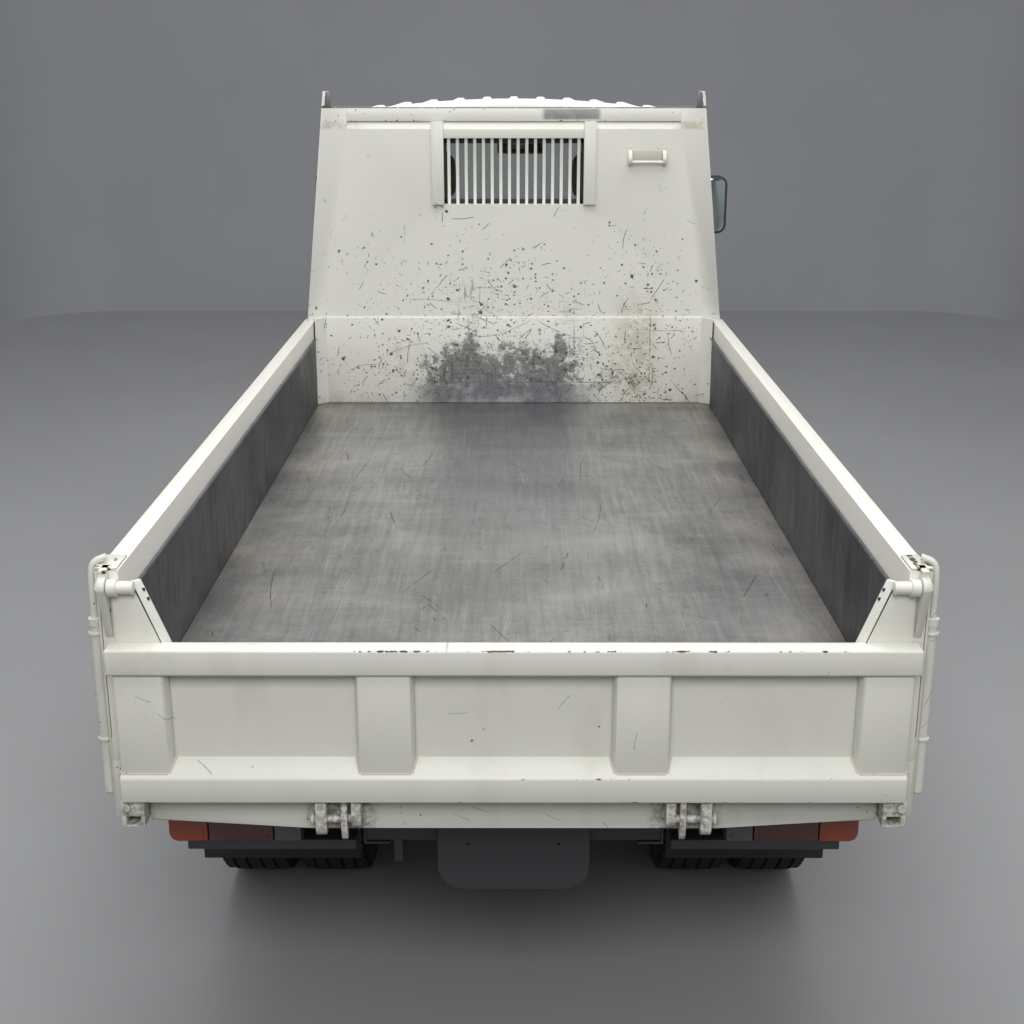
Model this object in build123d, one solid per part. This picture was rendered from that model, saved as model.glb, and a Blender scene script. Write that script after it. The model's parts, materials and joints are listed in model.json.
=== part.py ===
from build123d import *
import os
from math import atan2, cos, degrees, radians, sin

# Two-ton cab-over dump truck with a short steel bed, built as separate sub-parts.
# Millimetres, +Z up, +Y forward, +X to the driver's (right-hand) side.  The origin is on the
# ground under the middle of the overall length and width.

# ------------------------------------------------------------------ overall sizes
GATE_T = 50.0
BED_LENGTH = 3030.0         # tailgate to headboard, inside
HEAD_T = 40.0
CAB_SPACE = 95.0            # headboard to the cab's back panel
CAB_DEPTH = 1430.0          # back panel to the nose
BUMPER_OUT = 45.0           # bumper face ahead of the nose
FRONT_OVERHANG = 1030.0     # axle to the bumper face
REAR_OVERHANG = 1160.0      # axle to the tailgate face
GAP = 5.0                   # clearance between panels that move apart
RUN = 0.05                  # radial clearance of a pin in its hole
SEAT = 0.3                  # a piece that rests on another body stands this far off it

LENGTH = GATE_T + BED_LENGTH + HEAD_T + CAB_SPACE + CAB_DEPTH + BUMPER_OUT
REAR = -LENGTH / 2
FRONT = LENGTH / 2
GATE_IN_Y = REAR + GATE_T
HEAD_Y = GATE_IN_Y + BED_LENGTH
CAB_BACK = HEAD_Y + HEAD_T + CAB_SPACE
CAB_NOSE = CAB_BACK + CAB_DEPTH     # front panel at the middle
FRONT_AXLE_Y = FRONT - FRONT_OVERHANG
REAR_AXLE_Y = REAR + REAR_OVERHANG

# ------------------------------------------------------------------ wheels and axles
TYRE_R = 387.5
TYRE_W = 195.0
BEAD_R = 203.0              # rim seat
RIM_W = 160.0               # between the rim flanges
RIM_T = 7.0
FLANGE_H = 12.0             # rim flange above the bead seat
WHEEL_OFFSET = 112.5        # mounting face to the middle of its rim
DISC_T = 10.0
DISC_R = 140.0              # flat part of the wheel disc
HAND_HOLE_R = 18.0
HAND_HOLES = 8
HUB_R = 62.0
HUB_OUT = 28.0              # hub cap beyond the disc
DRUM_R = 160.0
DRUM_W = 92.0
FRONT_TRACK = 1360.0
REAR_TRACK = 1230.0         # between the mounting faces of the twin wheels
AXLE_Z = TYRE_R

KINGPIN_X = 600.0
KINGPIN_R = 14.0
FIST_R = 32.0
FIST_Z = (340.0, 435.0)
YOKE_T = 28.0
YOKE_CLEAR = 2.0
SPINDLE_R = 22.0
STEER_ARM = 130.0           # kingpin to tie-rod stud, straight back
STUD_R = 8.0
TIE_ROD_R = 13.0
TIE_END_H = 20.0
BEAM_Z = (285.0, 360.0)
BEAM_W = 70.0
REAR_TUBE_R = 50.0
REAR_SPINDLE_R = 30.0
DIFF_R = 145.0

# ------------------------------------------------------------------ chassis
RAIL_OUT = 350.0            # outer face of each frame rail
RAIL_FLANGE = 60.0
RAIL_T = 6.0
RAIL_Z = (530.0, 700.0)
RAIL_FRONT = CAB_NOSE - 120
CROSS_T = 60.0
SPRING_X = 320.0
SPRING_W = 60.0
LEAF_T = 12.0
LEAF_HALF_LENGTHS = (575.0, 450.0, 330.0, 210.0)
SPRING_EYE_R = 20.0
BUMPER_Z = (390.0, 595.0)
BUMPER_HALF = 840.0
BUMPER_T = 4.0
BUMPER_FLANGE = 40.0
BUMPER_WING_Y = FRONT - 235
BUMPER_CORNER = 120.0
PLATE_BOLT_PITCH = 210.0
PLATE_BOLT_R = 4.0
TOW_EYE_R = 16.0
TOW_EYE_T = 20.0
TOW_EYE_X = 280.0           # outer face of the eye's plate
TOW_EYE_DROP = 34.0         # eye centre under the frame rails

TANK_Y = REAR_AXLE_Y + 545
TANK_LENGTH = 600.0

# ------------------------------------------------------------------ bed
FLOOR_Z = 950.0             # top of the load floor
FLOOR_T = 5.0
BED_HALF = 800.0            # inner half width between the wear liners
LINER_T = 5.0
LINER_H = 270.0
WALL_T = 35.0
WALL_H = 340.0              # wall top above the floor
WALL_BASE = -85.0           # wall bottom below the floor
CROSS_MEMBER_H = 80.0
CROSS_MEMBER_W = 55.0
CROSS_MEMBERS = 9
SILL_X = (292.0, 345.0)
SILL_H = 130.0
HINGE_BACK = 250.0          # tipping axis ahead of the tailgate face
HINGE_Z = 718.0
HINGE_EYE_R = 30.0
HINGE_PIN_R = 14.0
HINGE_PLATE_T = 12.0

WALL_IN = BED_HALF + LINER_T
WALL_OUT = WALL_IN + WALL_T
WALL_TOP = FLOOR_Z + WALL_H
BED_REAR_Y = GATE_IN_Y + GAP
HINGE_Y = REAR + HINGE_BACK
RAIL_REAR = HINGE_Y + HINGE_EYE_R + GAP

# headboard, heights above the load floor
HEAD_HALF_LOW = 835.0       # outer half width at the wall top
HEAD_HALF_HIGH = 740.0      # outer half width at the tip of the edge plates
HEAD_TIP = 1230.0
HEAD_RAIL = (1119.0, 1171.0)
HEAD_LEDGE = 1090.0
HEAD_LAP = 353.0
HEAD_LAP_T = 6.0
EDGE_PLATE_T = 11.0
EDGE_PLATE_D = 100.0
WINDOW_HALF = 275.0
WINDOW_H = (HEAD_LEDGE - 288, HEAD_LEDGE - 35)
POST_W = 47.0
POST_PROUD = 18.0
BARS = 16
BAR_W = 12.0
BAR_PITCH = 34.0
CORNER_STRIP = 40.0

# tailgate, heights above the load floor
GATE_HALF = 830.0
GATE_SKIN = 8.0
GATE_TOP = 187.0
GATE_RAIL_LOW = 130.0
GATE_LEDGE = -70.0
GATE_LEDGE_OUT = -102.0
GATE_BOTTOM = -158.0
RIB_X = 267.0
RIB_W = 110.0
STILE_W = 104.0
STILE_SLOPE = 25.0
EAR_TOP = 339.0
GATE_PIN_H = 310.0
GATE_PIN_BACK = 34.0        # pin axis ahead of the tailgate face
GATE_PIN_R = 10.0
GATE_BOSS_R = 15.0
GATE_BOSS_X = (786.0, 812.0)
PIVOT_PLATE_X = (816.0, 832.0)
PIVOT_PLATE_R = 34.0
REAR_BEAM = (-225.0, -163.0)
REAR_BEAM_D = 60.0
REAR_BEAM_BACK = 10.0       # beam face ahead of the tailgate face
STUB_X = (776.0, 829.0)
STUB_T = 5.0
LOCK_X = (306.0, 360.0)
LOCK_TUBE_R = 12.0
LOCK_ROD_R = 8.5

GATE_PIN_Y = REAR + GATE_PIN_BACK
GATE_PIN_Z = FLOOR_Z + GATE_PIN_H

# ------------------------------------------------------------------ hoist
HOIST_BASE = (HINGE_Y + 395, HINGE_Z - 218)
HOIST_EYE = (HINGE_Y + 895, HINGE_Z + 82)
HOIST_BARREL_R = 50.0
HOIST_ROD_R = 30.0
HOIST_EYE_R = 34.0
HOIST_EYE_W = 60.0
HOIST_PIN_R = 16.0
HOIST_EAR_T = 12.0
HOIST_ANGLE = degrees(atan2(HOIST_EYE[1] - HOIST_BASE[1], HOIST_EYE[0] - HOIST_BASE[0]))

# ------------------------------------------------------------------ cab
CAB_HALF = 840.0
CAB_NOSE_BOW = 45.0         # front panel falls back this much at the sides
CAB_CORNER = 120.0
PLAN_SPARE = 3.0            # the plan outline is this much wider than the cab's section
CAB_BOTTOM = 665.0
BELT_Z = 1340.0
ROOF_Z = 2128.0             # crown
ROOF_SIDE = (CAB_HALF - 90, ROOF_Z - 57)
ROOF_SPLIT = ROOF_Z - 88
SCREEN_RAKE = 0.25          # the screen falls back this much for each unit of height
WALL = 45.0
ARCH_R = 445.0
ROOF_RIBS = 11
ROOF_RIB_PITCH = 125.0
ROOF_RIB_W = 42.0
ROOF_RIB_H = 12.0
DOOR_Y = (CAB_BACK + 205, CAB_NOSE - 190)
DOOR_Z = (CAB_BOTTOM + 215, ROOF_SPLIT - 50)
DOOR_CORNER = 45.0
DOOR_WINDOW_Y = (DOOR_Y[0] + 85, DOOR_Y[1] - 90)
DOOR_WINDOW_Z = (BELT_Z + 60, DOOR_Z[1] - 50)
DOOR_GAP = 7.0
DOOR_HINGE_R = 8.0
DOOR_PIN_R = 4.0
DOOR_HINGE_H = 22.0         # each half knuckle
DOOR_HINGE_OUT = 9.0        # hinge axis outside the skin
SCREEN_HALF = 705.0
SCREEN_Z = (BELT_Z + 60, ROOF_SPLIT - 55)
REAR_WINDOW_HALF = 520.0
REAR_WINDOW_Z = (BELT_Z + 300, ROOF_SPLIT - 55)
GLASS_T = 6.0
GLASS_IN = 12.0
DECK_Z = BELT_Z - 280             # floor under the seats
FOOT_Z = CAB_BOTTOM + 195              # floor in front of them
DECK_Y = CAB_NOSE - 550
PANEL_T = 30.0
TILT_Y = CAB_NOSE - 100
TILT_Z = RAIL_Z[1] + 30
TILT_EYE_R = 22.0
TILT_PIN_R = 10.0
TILT_PLATE_R = 26.0
STEP_Y = (FRONT_AXLE_Y + ARCH_R + 30, DOOR_Y[1] - 25)
STEP_Z = 440.0
LAMP_X = (560.0, 790.0)
LAMP_Z = (CAB_BOTTOM + 50, CAB_BOTTOM + 200)
GRILLE_HALF = LAMP_X[0] - 40
GRILLE_Z = (LAMP_Z[0] + 15, LAMP_Z[1] - 15)
GRILLE_SLATS = 4
MIRROR_Z = (BELT_Z + 159, BELT_Z + 417)
DRIVER_X = 405.0
SEAT_W = 440.0
DOOR_HINGE_X = CAB_HALF + DOOR_HINGE_OUT
DOOR_HINGE_Y = DOOR_Y[1] + 2
DOOR_HINGE_Z = (DOOR_Z[0] + 120, BELT_Z - 50)

SIDES = ((-1, "left"), (1, "right"))


# ------------------------------------------------------------------ helpers
def box(x, y, z):
    """Box between the low and high value on each axis."""
    size = (x[1] - x[0], y[1] - y[0], z[1] - z[0])
    return Pos((x[0] + x[1]) / 2, (y[0] + y[1]) / 2, (z[0] + z[1]) / 2) * Box(*size)


def rod_x(radius, x, y, z):
    """Round bar along X from x[0] to x[1]."""
    return Pos((x[0] + x[1]) / 2, y, z) * Rot(0, 90, 0) * Cylinder(radius, x[1] - x[0])


def rod_y(radius, x, y, z):
    """Round bar along Y from y[0] to y[1]."""
    return Pos(x, (y[0] + y[1]) / 2, z) * Rot(90, 0, 0) * Cylinder(radius, y[1] - y[0])


def rod_z(radius, x, y, z):
    """Round bar along Z from z[0] to z[1]."""
    return Pos(x, y, (z[0] + z[1]) / 2) * Cylinder(radius, z[1] - z[0])


def rod_between(radius, start, end):
    """Round bar from one point to another."""
    line = Line(start, end)
    return extrude(Plane(start, z_dir=line % 0) * Circle(radius), line.length)


def plate_x(points, x):
    """Flat plate with an outline in (y, z), from x[0] to x[1]."""
    outline = Polyline(*[(x[0], y, z) for y, z in points], close=True)
    return extrude(make_face(outline), x[1] - x[0], dir=(1, 0, 0))


def plate_y(points, y):
    """Flat plate with an outline in (x, z), from y[0] to y[1]."""
    outline = Polyline(*[(x, y[0], z) for x, z in points], close=True)
    return extrude(make_face(outline), y[1] - y[0], dir=(0, 1, 0))


def plate_z(points, z):
    """Flat plate with an outline in (x, y), from z[0] to z[1]."""
    outline = Polyline(*[(x, y, z[0]) for x, y in points], close=True)
    return extrude(make_face(outline), z[1] - z[0], dir=(0, 0, 1))


def mirrored(shape):
    """The same shape on the other side of the truck."""
    return mirror(shape, about=Plane.YZ)


def both(shape):
    """The shape and its mirror image across the truck."""
    return shape + mirrored(shape)


def on_side(shape, side):
    """A right-hand shape, mirrored when side is -1."""
    return shape if side > 0 else mirrored(shape)


def total(shapes):
    """All the shapes joined into one."""
    shapes = list(shapes)
    return shapes[0] + shapes[1:] if len(shapes) > 1 else shapes[0]


# ------------------------------------------------------------------ wheels
def tyre(x):
    """Tyre centred at x on an axle along X through the origin."""
    bead, shoulder = RIM_W / 2, TYRE_W / 2 - 9.5
    lip, edge = BEAD_R + FLANGE_H + 2, TYRE_R - 15.5
    wall = TYRE_W / 2
    outline = (
        Polyline((-bead, lip), (-bead, BEAD_R), (bead, BEAD_R), (bead, lip))
        + ThreePointArc((bead, lip), (wall, (lip + edge) / 2), (shoulder, edge))
        + ThreePointArc((shoulder, edge), (0, TYRE_R), (-shoulder, edge))
        + ThreePointArc((-shoulder, edge), (-wall, (lip + edge) / 2), (-bead, lip))
    )
    return Pos(x, 0, 0) * revolve(make_face(outline), Axis.X)


def rim(face_x, side):
    """Dished disc wheel; face_x is its mounting face and side points from there to its rim."""
    middle = side * WHEEL_OFFSET
    half, well = RIM_W / 2, BEAD_R - RIM_T
    near, far = middle - side * half, middle + side * half
    barrel = [
        (near, well), (near, BEAD_R), (near, BEAD_R + FLANGE_H), (near - side * RIM_T, BEAD_R + FLANGE_H),
        (near - side * RIM_T, well), (near, well),
    ]
    disc = [
        (0, HUB_R - 10), (0, DISC_R), (near + side * 12, well + 1), (near + side * 24, well + 1),
        (side * DISC_T, DISC_R - 6), (side * DISC_T, HUB_R - 10),
    ]
    far_flange = [(far, well), (far + side * RIM_T, well), (far + side * RIM_T, BEAD_R + FLANGE_H),
                  (far, BEAD_R + FLANGE_H)]
    tube = [(near, well), (far, well), (far, BEAD_R), (near, BEAD_R)]
    sections = (barrel[:5], far_flange, tube, disc)
    wheel = total(revolve(make_face(Polyline(*pts, close=True)), Axis.X) for pts in sections)
    for i in range(HAND_HOLES):
        turn = Rot(360 / HAND_HOLES * i, 0, 0)
        radius = (DISC_R + well) / 2
        wheel -= turn * rod_x(HAND_HOLE_R, (middle - WHEEL_OFFSET - 5, middle + WHEEL_OFFSET + 5), 0, radius)
    return Pos(face_x, 0, 0) * wheel


def front_wheel(side):
    """Tyre and rim of one front wheel."""
    face = FRONT_TRACK / 2 + WHEEL_OFFSET
    place = Pos(0, FRONT_AXLE_Y, AXLE_Z)
    hub = rod_x(HUB_R, (face - DRUM_W, face + HUB_OUT), 0, 0) + rod_x(DRUM_R, (face - DRUM_W, face - DISC_T), 0, 0)
    hub += rod_x(DISC_R - 20, (face - DISC_T, face), 0, 0)
    hub -= rod_x(SPINDLE_R, (face - DRUM_W, face - 10), 0, 0)
    steel = rim(face, -1) + hub
    return on_side(place * tyre(face - WHEEL_OFFSET), side), on_side(place * steel, side)


def rear_wheels(side):
    """Twin tyres and the joined rims of one rear wheel pair."""
    face = REAR_TRACK / 2
    place = Pos(0, REAR_AXLE_Y, AXLE_Z)
    tyres = tyre(face - WHEEL_OFFSET) + tyre(face + WHEEL_OFFSET)
    hub = rod_x(HUB_R, (face - DRUM_W - DISC_T, face + 2 * HUB_OUT + DISC_T), 0, 0)
    hub += rod_x(DRUM_R, (face - DRUM_W - DISC_T, face - DISC_T), 0, 0)
    hub -= rod_x(REAR_SPINDLE_R, (face - DRUM_W - DISC_T, face), 0, 0)
    steel = rim(face, 1) + rim(face, -1) + hub
    return on_side(place * tyres, side), on_side(place * steel, side)


# ------------------------------------------------------------------ axles and steering
def front_axle():
    """Dropped I-beam with a bored fist at each end."""
    low, high = BEAM_Z
    half = BEAM_W / 2
    y = (FRONT_AXLE_Y - half, FRONT_AXLE_Y + half)
    outline = [(0, low), (380, low), (540, FIST_Z[0]), (KINGPIN_X, FIST_Z[0]), (KINGPIN_X, FIST_Z[1]),
               (550, FIST_Z[1]), (410, high), (0, high)]
    beam = both(plate_y(outline, y))
    for face in (-1, 1):
        pocket = (FRONT_AXLE_Y + face * 10, FRONT_AXLE_Y + face * (half + 1))
        beam -= box((-365, 365), (min(pocket), max(pocket)), (low + 15, high - 15))
    fist = rod_z(FIST_R, KINGPIN_X, FRONT_AXLE_Y, FIST_Z)
    bore = rod_z(KINGPIN_R + RUN, KINGPIN_X, FRONT_AXLE_Y, (FIST_Z[0] - 1, FIST_Z[1] + 1))
    return beam + both(fist) - both(bore)


def knuckle():
    """Right-hand steering knuckle: yoke, kingpin, spindle and steering arm."""
    top = (FIST_Z[1] + YOKE_CLEAR, FIST_Z[1] + YOKE_CLEAR + YOKE_T)
    base = (FIST_Z[0] - YOKE_CLEAR - YOKE_T, FIST_Z[0] - YOKE_CLEAR)
    web_x = (KINGPIN_X + FIST_R + 6, KINGPIN_X + FIST_R + 6 + YOKE_T)
    width = (FRONT_AXLE_Y - FIST_R, FRONT_AXLE_Y + FIST_R)
    body = box(web_x, width, (base[0], top[1]))
    for lug in (top, base):
        body += rod_z(FIST_R, KINGPIN_X, FRONT_AXLE_Y, lug) + box((KINGPIN_X, web_x[1]), width, lug)
    body += rod_z(KINGPIN_R, KINGPIN_X, FRONT_AXLE_Y, (base[0], top[1]))
    wheel_face = FRONT_TRACK / 2 + WHEEL_OFFSET
    body += rod_x(SPINDLE_R + 12, (web_x[1], wheel_face - DRUM_W - 2), FRONT_AXLE_Y, AXLE_Z)
    body += rod_x(SPINDLE_R - RUN, (web_x[1], wheel_face - 14), FRONT_AXLE_Y, AXLE_Z)
    arm_y = FRONT_AXLE_Y - STEER_ARM
    arm_z = (base[0], base[0] + 20)
    body += box((KINGPIN_X - 20, KINGPIN_X + 20), (arm_y, FRONT_AXLE_Y), arm_z)
    body += rod_z(24, KINGPIN_X, arm_y, arm_z)
    return body - rod_z(STUD_R + RUN, KINGPIN_X, arm_y, (arm_z[0] - 1, arm_z[1] + 1))


def tie_rod():
    """Bar between the two steering arms, with a stud up into each."""
    arm_y = FRONT_AXLE_Y - STEER_ARM
    arm_low = FIST_Z[0] - YOKE_CLEAR - YOKE_T
    low = arm_low - SEAT - TIE_END_H
    end = rod_z(20, KINGPIN_X, arm_y, (low, arm_low - SEAT)) + rod_z(STUD_R, KINGPIN_X, arm_y, (low, arm_low + 20))
    return rod_x(TIE_ROD_R - 4, (-KINGPIN_X, KINGPIN_X), arm_y, low + TIE_END_H / 2) + both(end)


def rear_axle():
    """Driven axle: tube, differential bowl, spring seats and stub spindles."""
    face = REAR_TRACK / 2
    tube_end = face - DRUM_W - DISC_T - GAP
    axle = rod_x(REAR_TUBE_R, (-tube_end, tube_end), REAR_AXLE_Y, AXLE_Z)
    axle += rod_x(REAR_SPINDLE_R - RUN, (-face + 4, face - 4), REAR_AXLE_Y, AXLE_Z)
    bowl = rod_y(DIFF_R, 0, (REAR_AXLE_Y - 95, REAR_AXLE_Y + 95), AXLE_Z)
    axle += chamfer(bowl.edges().filter_by(GeomType.CIRCLE), 45)
    axle += rod_y(62, 0, (REAR_AXLE_Y, SHAFT_REAR[0]), SHAFT_REAR[1])
    seat = box((SPRING_X - 45, SPRING_X + 45), (REAR_AXLE_Y - 65, REAR_AXLE_Y + 65), (AXLE_Z, REAR_SEAT_Z))
    return axle + both(seat)


SHAFT_REAR = (REAR_AXLE_Y + 150, AXLE_Z + 8)
SHAFT_FRONT = (FRONT_AXLE_Y - 665, RAIL_Z[0] + 70)
REAR_SEAT_Z = AXLE_Z + REAR_TUBE_R + 8


def propeller_shaft():
    """Tube from the gearbox to the differential with a yoke at each end."""
    front, rear = (0, *SHAFT_FRONT), (0, *SHAFT_REAR)
    shaft = rod_between(38, (0, SHAFT_FRONT[0] - 20, SHAFT_FRONT[1]), (0, SHAFT_REAR[0] + 20, SHAFT_REAR[1]))
    shaft += rod_y(52, 0, (front[1] - 30, front[1]), front[2])
    return shaft + rod_y(52, 0, (rear[1], rear[1] + 30), rear[2])


def leaf_spring(axle_y, seat_z, eye_z):
    """Right-hand leaf pack on its axle seat, with end eyes and hangers up to the frame rail."""
    x = (SPRING_X - SPRING_W / 2, SPRING_X + SPRING_W / 2)
    pack_h = LEAF_T * len(LEAF_HALF_LENGTHS)
    top = seat_z + pack_h
    longest = LEAF_HALF_LENGTHS[0]
    spring = box(x, (axle_y - 60, axle_y + 60), (seat_z, top + 14))
    for i, half in enumerate(LEAF_HALF_LENGTHS):
        mid = top - LEAF_T * i
        rise = (eye_z - top + LEAF_T / 2) * (half / longest) ** 2
        left, right = axle_y - half, axle_y + half
        upper = ThreePointArc((x[0], left, mid + rise), (x[0], axle_y, mid), (x[0], right, mid + rise))
        lower = ThreePointArc((x[0], right, mid + rise - LEAF_T), (x[0], axle_y, mid - LEAF_T),
                              (x[0], left, mid + rise - LEAF_T))
        ends = Line(upper @ 1, lower @ 0) + Line(lower @ 1, upper @ 0)
        spring += extrude(make_face(upper + lower + ends), SPRING_W, dir=(1, 0, 0))
    for y in (axle_y - longest, axle_y + longest):
        spring += rod_x(SPRING_EYE_R, x, y, eye_z)
        spring += box(x, (y - SPRING_EYE_R, y + SPRING_EYE_R), (eye_z, RAIL_Z[0]))
    return spring


def leaf_springs():
    """All four leaf springs."""
    front = leaf_spring(FRONT_AXLE_Y, BEAM_Z[1], 470)
    rear = leaf_spring(REAR_AXLE_Y, REAR_SEAT_Z, 505)
    return both(front) + both(rear)


# ------------------------------------------------------------------ frame
def hinge_plate(y, z, radius, foot_y, foot_z, hole, x):
    """Plate with a bored round end at (y, z) and a foot on the frame rail."""
    reach = 1 if foot_y[0] > y else -1
    near, far = (foot_y[0], foot_y[1]) if reach > 0 else (foot_y[1], foot_y[0])
    outline = [(y, z + radius), (far, foot_z[1]), (far, foot_z[0]), (near, foot_z[0]),
               (y - reach * radius * 0.3, z - radius * 0.95)]
    plate = plate_x(outline, x) + rod_x(radius, x, y, z)
    return plate - rod_x(hole, (x[0] - 1, x[1] + 1), y, z)


def frame_rails():
    """Two C-channels with the bed's rest pads and the outer plates of both hinges."""
    low, high = RAIL_Z
    length = (RAIL_REAR, RAIL_FRONT)
    rail = box((RAIL_OUT - RAIL_T, RAIL_OUT), length, RAIL_Z)
    for z in ((low, low + RAIL_T), (high - RAIL_T, high)):
        rail += box((RAIL_OUT - RAIL_FLANGE, RAIL_OUT), length, z)
    for y in (HINGE_Y + 595, REAR_AXLE_Y + 635, HEAD_Y - 335):
        rail += box(SILL_X, (y - 60, y + 60), (high, FLOOR_Z - FLOOR_T - CROSS_MEMBER_H - SILL_H - SEAT))
    x = (RAIL_OUT, RAIL_OUT + HINGE_PLATE_T)
    rail += hinge_plate(HINGE_Y, HINGE_Z, 36, (RAIL_REAR + 20, RAIL_REAR + 140), (low + 30, high - 5),
                        HINGE_PIN_R + RUN, x)
    rail += hinge_plate(TILT_Y, TILT_Z, TILT_PLATE_R, (RAIL_FRONT - 150, RAIL_FRONT - 50), (low + 50, high - 5),
                        TILT_PIN_R + RUN, x)
    return both(rail)


def frame_crossmembers():
    """Cross-members between the rails, with the bed's inner hinge plates and the hoist ears."""
    low, high = RAIL_Z
    inner = RAIL_OUT - RAIL_T
    hoist_y = HOIST_BASE[0] - 90
    # low and high y, low z
    table = ((RAIL_FRONT - 80, RAIL_FRONT - 20, low + 10), (CAB_BACK - 390, CAB_BACK - 330, high - 62),
             (REAR_AXLE_Y + 725, REAR_AXLE_Y + 785, high - 62), (hoist_y - 50, hoist_y, low + 10),
             (RAIL_REAR, RAIL_REAR + CROSS_T, low + 10))
    members = []
    for y0, y1, z0 in table:
        member = box((-inner, inner), (y0, y1), (z0, high - RAIL_T))
        if z0 < high - 100:
            member -= box((-inner + 30, inner - 30), (y0 + RAIL_T, y1 - RAIL_T), (z0 + RAIL_T, high - RAIL_T - 8))
        members.append(member)
    plate = hinge_plate(HINGE_Y, HINGE_Z, 32, (RAIL_REAR, RAIL_REAR + 30), (low + 60, high - 10),
                        HINGE_PIN_R + RUN, (SILL_X[0] - GAP - HINGE_PLATE_T, SILL_X[0] - GAP))
    ear_x = (HOIST_EYE_W / 2 + 2, HOIST_EYE_W / 2 + 2 + HOIST_EAR_T)
    y, z = HOIST_BASE
    ear = plate_x([(y, z + 30), (y - 40, z + 30), (hoist_y, low + 60), (hoist_y, low + 10), (y - 10, z - 30)], ear_x)
    ear += rod_x(32, ear_x, y, z)
    ear -= rod_x(HOIST_PIN_R + RUN, (ear_x[0] - 1, ear_x[1] + 1), y, z)
    eye_x, eye_y, eye_z = (-TOW_EYE_X, -TOW_EYE_X + TOW_EYE_T), RAIL_REAR + CROSS_T / 2, low - TOW_EYE_DROP
    eye = box(eye_x, (eye_y - 26, eye_y + 26), (eye_z, low + 14)) + rod_x(26, eye_x, eye_y, eye_z)
    members[-1] += both(plate) + eye - rod_x(TOW_EYE_R, (eye_x[0] - 1, eye_x[1] + 1), eye_y, eye_z)
    members[-2] += both(ear)
    return total(members)


def engine_block():
    """Engine, gearbox and radiator as one plain block, with its mounting arms."""
    y, z = FRONT_AXLE_Y, RAIL_Z[0]
    rear = SHAFT_FRONT[0]
    # half width, y range, z range
    table = ((250, (y - 165, y + 385), (z - 50, z + 470)), (200, (y + 385, y + 585), (z - 30, z + 270)),
             (270, (y + 585, y + 670), (z - 70, z + 275)), (150, (rear, y - 165), (z - 80, z + 210)),
             (RAIL_OUT - RAIL_T, (y + 85, y + 145), (z + 30, z + 110)),
             (RAIL_OUT - RAIL_T, (rear + 50, rear + 100), (z + 70, z + 120)))
    return total(box((-half, half), span_y, span_z) for half, span_y, span_z in table)


def bumper_outline(inset, back):
    """Plan of the front bumper, inset from its outer face."""
    half, front, corner = BUMPER_HALF - inset, FRONT - inset, BUMPER_CORNER - inset
    plan = RectangleRounded(2 * half, 2 * corner, corner - 0.01)
    return Pos(0, front - corner, 0) * plan + Pos(0, (back + front - corner) / 2, 0) * Rectangle(
        2 * half, front - corner - back)


def front_bumper():
    """Wrap-round channel bumper on two stays, with the number plate's bolt holes."""
    low, high = BUMPER_Z
    outer = Pos(0, 0, low) * extrude(bumper_outline(0, BUMPER_WING_Y), high - low)
    hollow = Pos(0, 0, low - 1) * extrude(bumper_outline(BUMPER_T, BUMPER_WING_Y - 50), high - low + 2)
    rim_cut = Pos(0, 0, low - 1) * extrude(bumper_outline(BUMPER_FLANGE, BUMPER_WING_Y - 50), high - low + 2)
    skin = outer - hollow
    lip = outer - rim_cut
    lip &= box((-BUMPER_HALF, BUMPER_HALF), (REAR, FRONT), (low, low + BUMPER_T)) + box(
        (-BUMPER_HALF, BUMPER_HALF), (REAR, FRONT), (high - BUMPER_T, high))
    stay = box((RAIL_OUT - RAIL_FLANGE, RAIL_OUT), (RAIL_FRONT, FRONT - 1), (high - 60, high - 5))
    bumper = skin + lip + both(stay)
    for x in (-PLATE_BOLT_PITCH / 2, PLATE_BOLT_PITCH / 2):
        bumper -= rod_y(PLATE_BOLT_R, x, (FRONT - 2 * BUMPER_T, FRONT + 1), (low + high) / 2)
    return bumper


def fuel_tank():
    """Rounded tank on two strap brackets off the right-hand rail."""
    x, y, z = (RAIL_OUT + 50, RAIL_OUT + 440), (TANK_Y, TANK_Y + TANK_LENGTH), (RAIL_Z[0] - 130, RAIL_Z[1] - 10)
    tank = fillet(box(x, y, z).edges().filter_by(Axis.Y), 45)
    for y0 in (y[0] + 110, y[1] - 150):
        strap = box((x[0] - 4, x[1] + 4), (y0, y0 + 40), (z[0] - 4, z[1] + 4))
        tank += fillet(strap.edges().filter_by(Axis.Y), 49)
        tank += box((RAIL_OUT, x[0] + 20), (y0, y0 + 40), (z[0] + 160, z[1] - 10))
    return tank + rod_x(38, (x[1] - 10, x[1] + 22), y[1] - 70, z[1] - 80)


def battery_box():
    """Battery box with a lipped lid, on two brackets off the left-hand rail."""
    x, y, z = (-RAIL_OUT - 440, -RAIL_OUT - 60), (CAB_BACK - 690, CAB_BACK - 250), (RAIL_Z[0] - 100, RAIL_Z[1] - 20)
    case = box(x, y, (z[0], z[1] - 40)) + box((x[0] - 6, x[1] + 6), (y[0] - 6, y[1] + 6), (z[1] - 45, z[1]))
    for y0 in (y[0] + 50, y[1] - 90):
        case += box((x[1], -RAIL_OUT), (y0, y0 + 40), (z[0] + 130, z[0] + 190))
    return case


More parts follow.
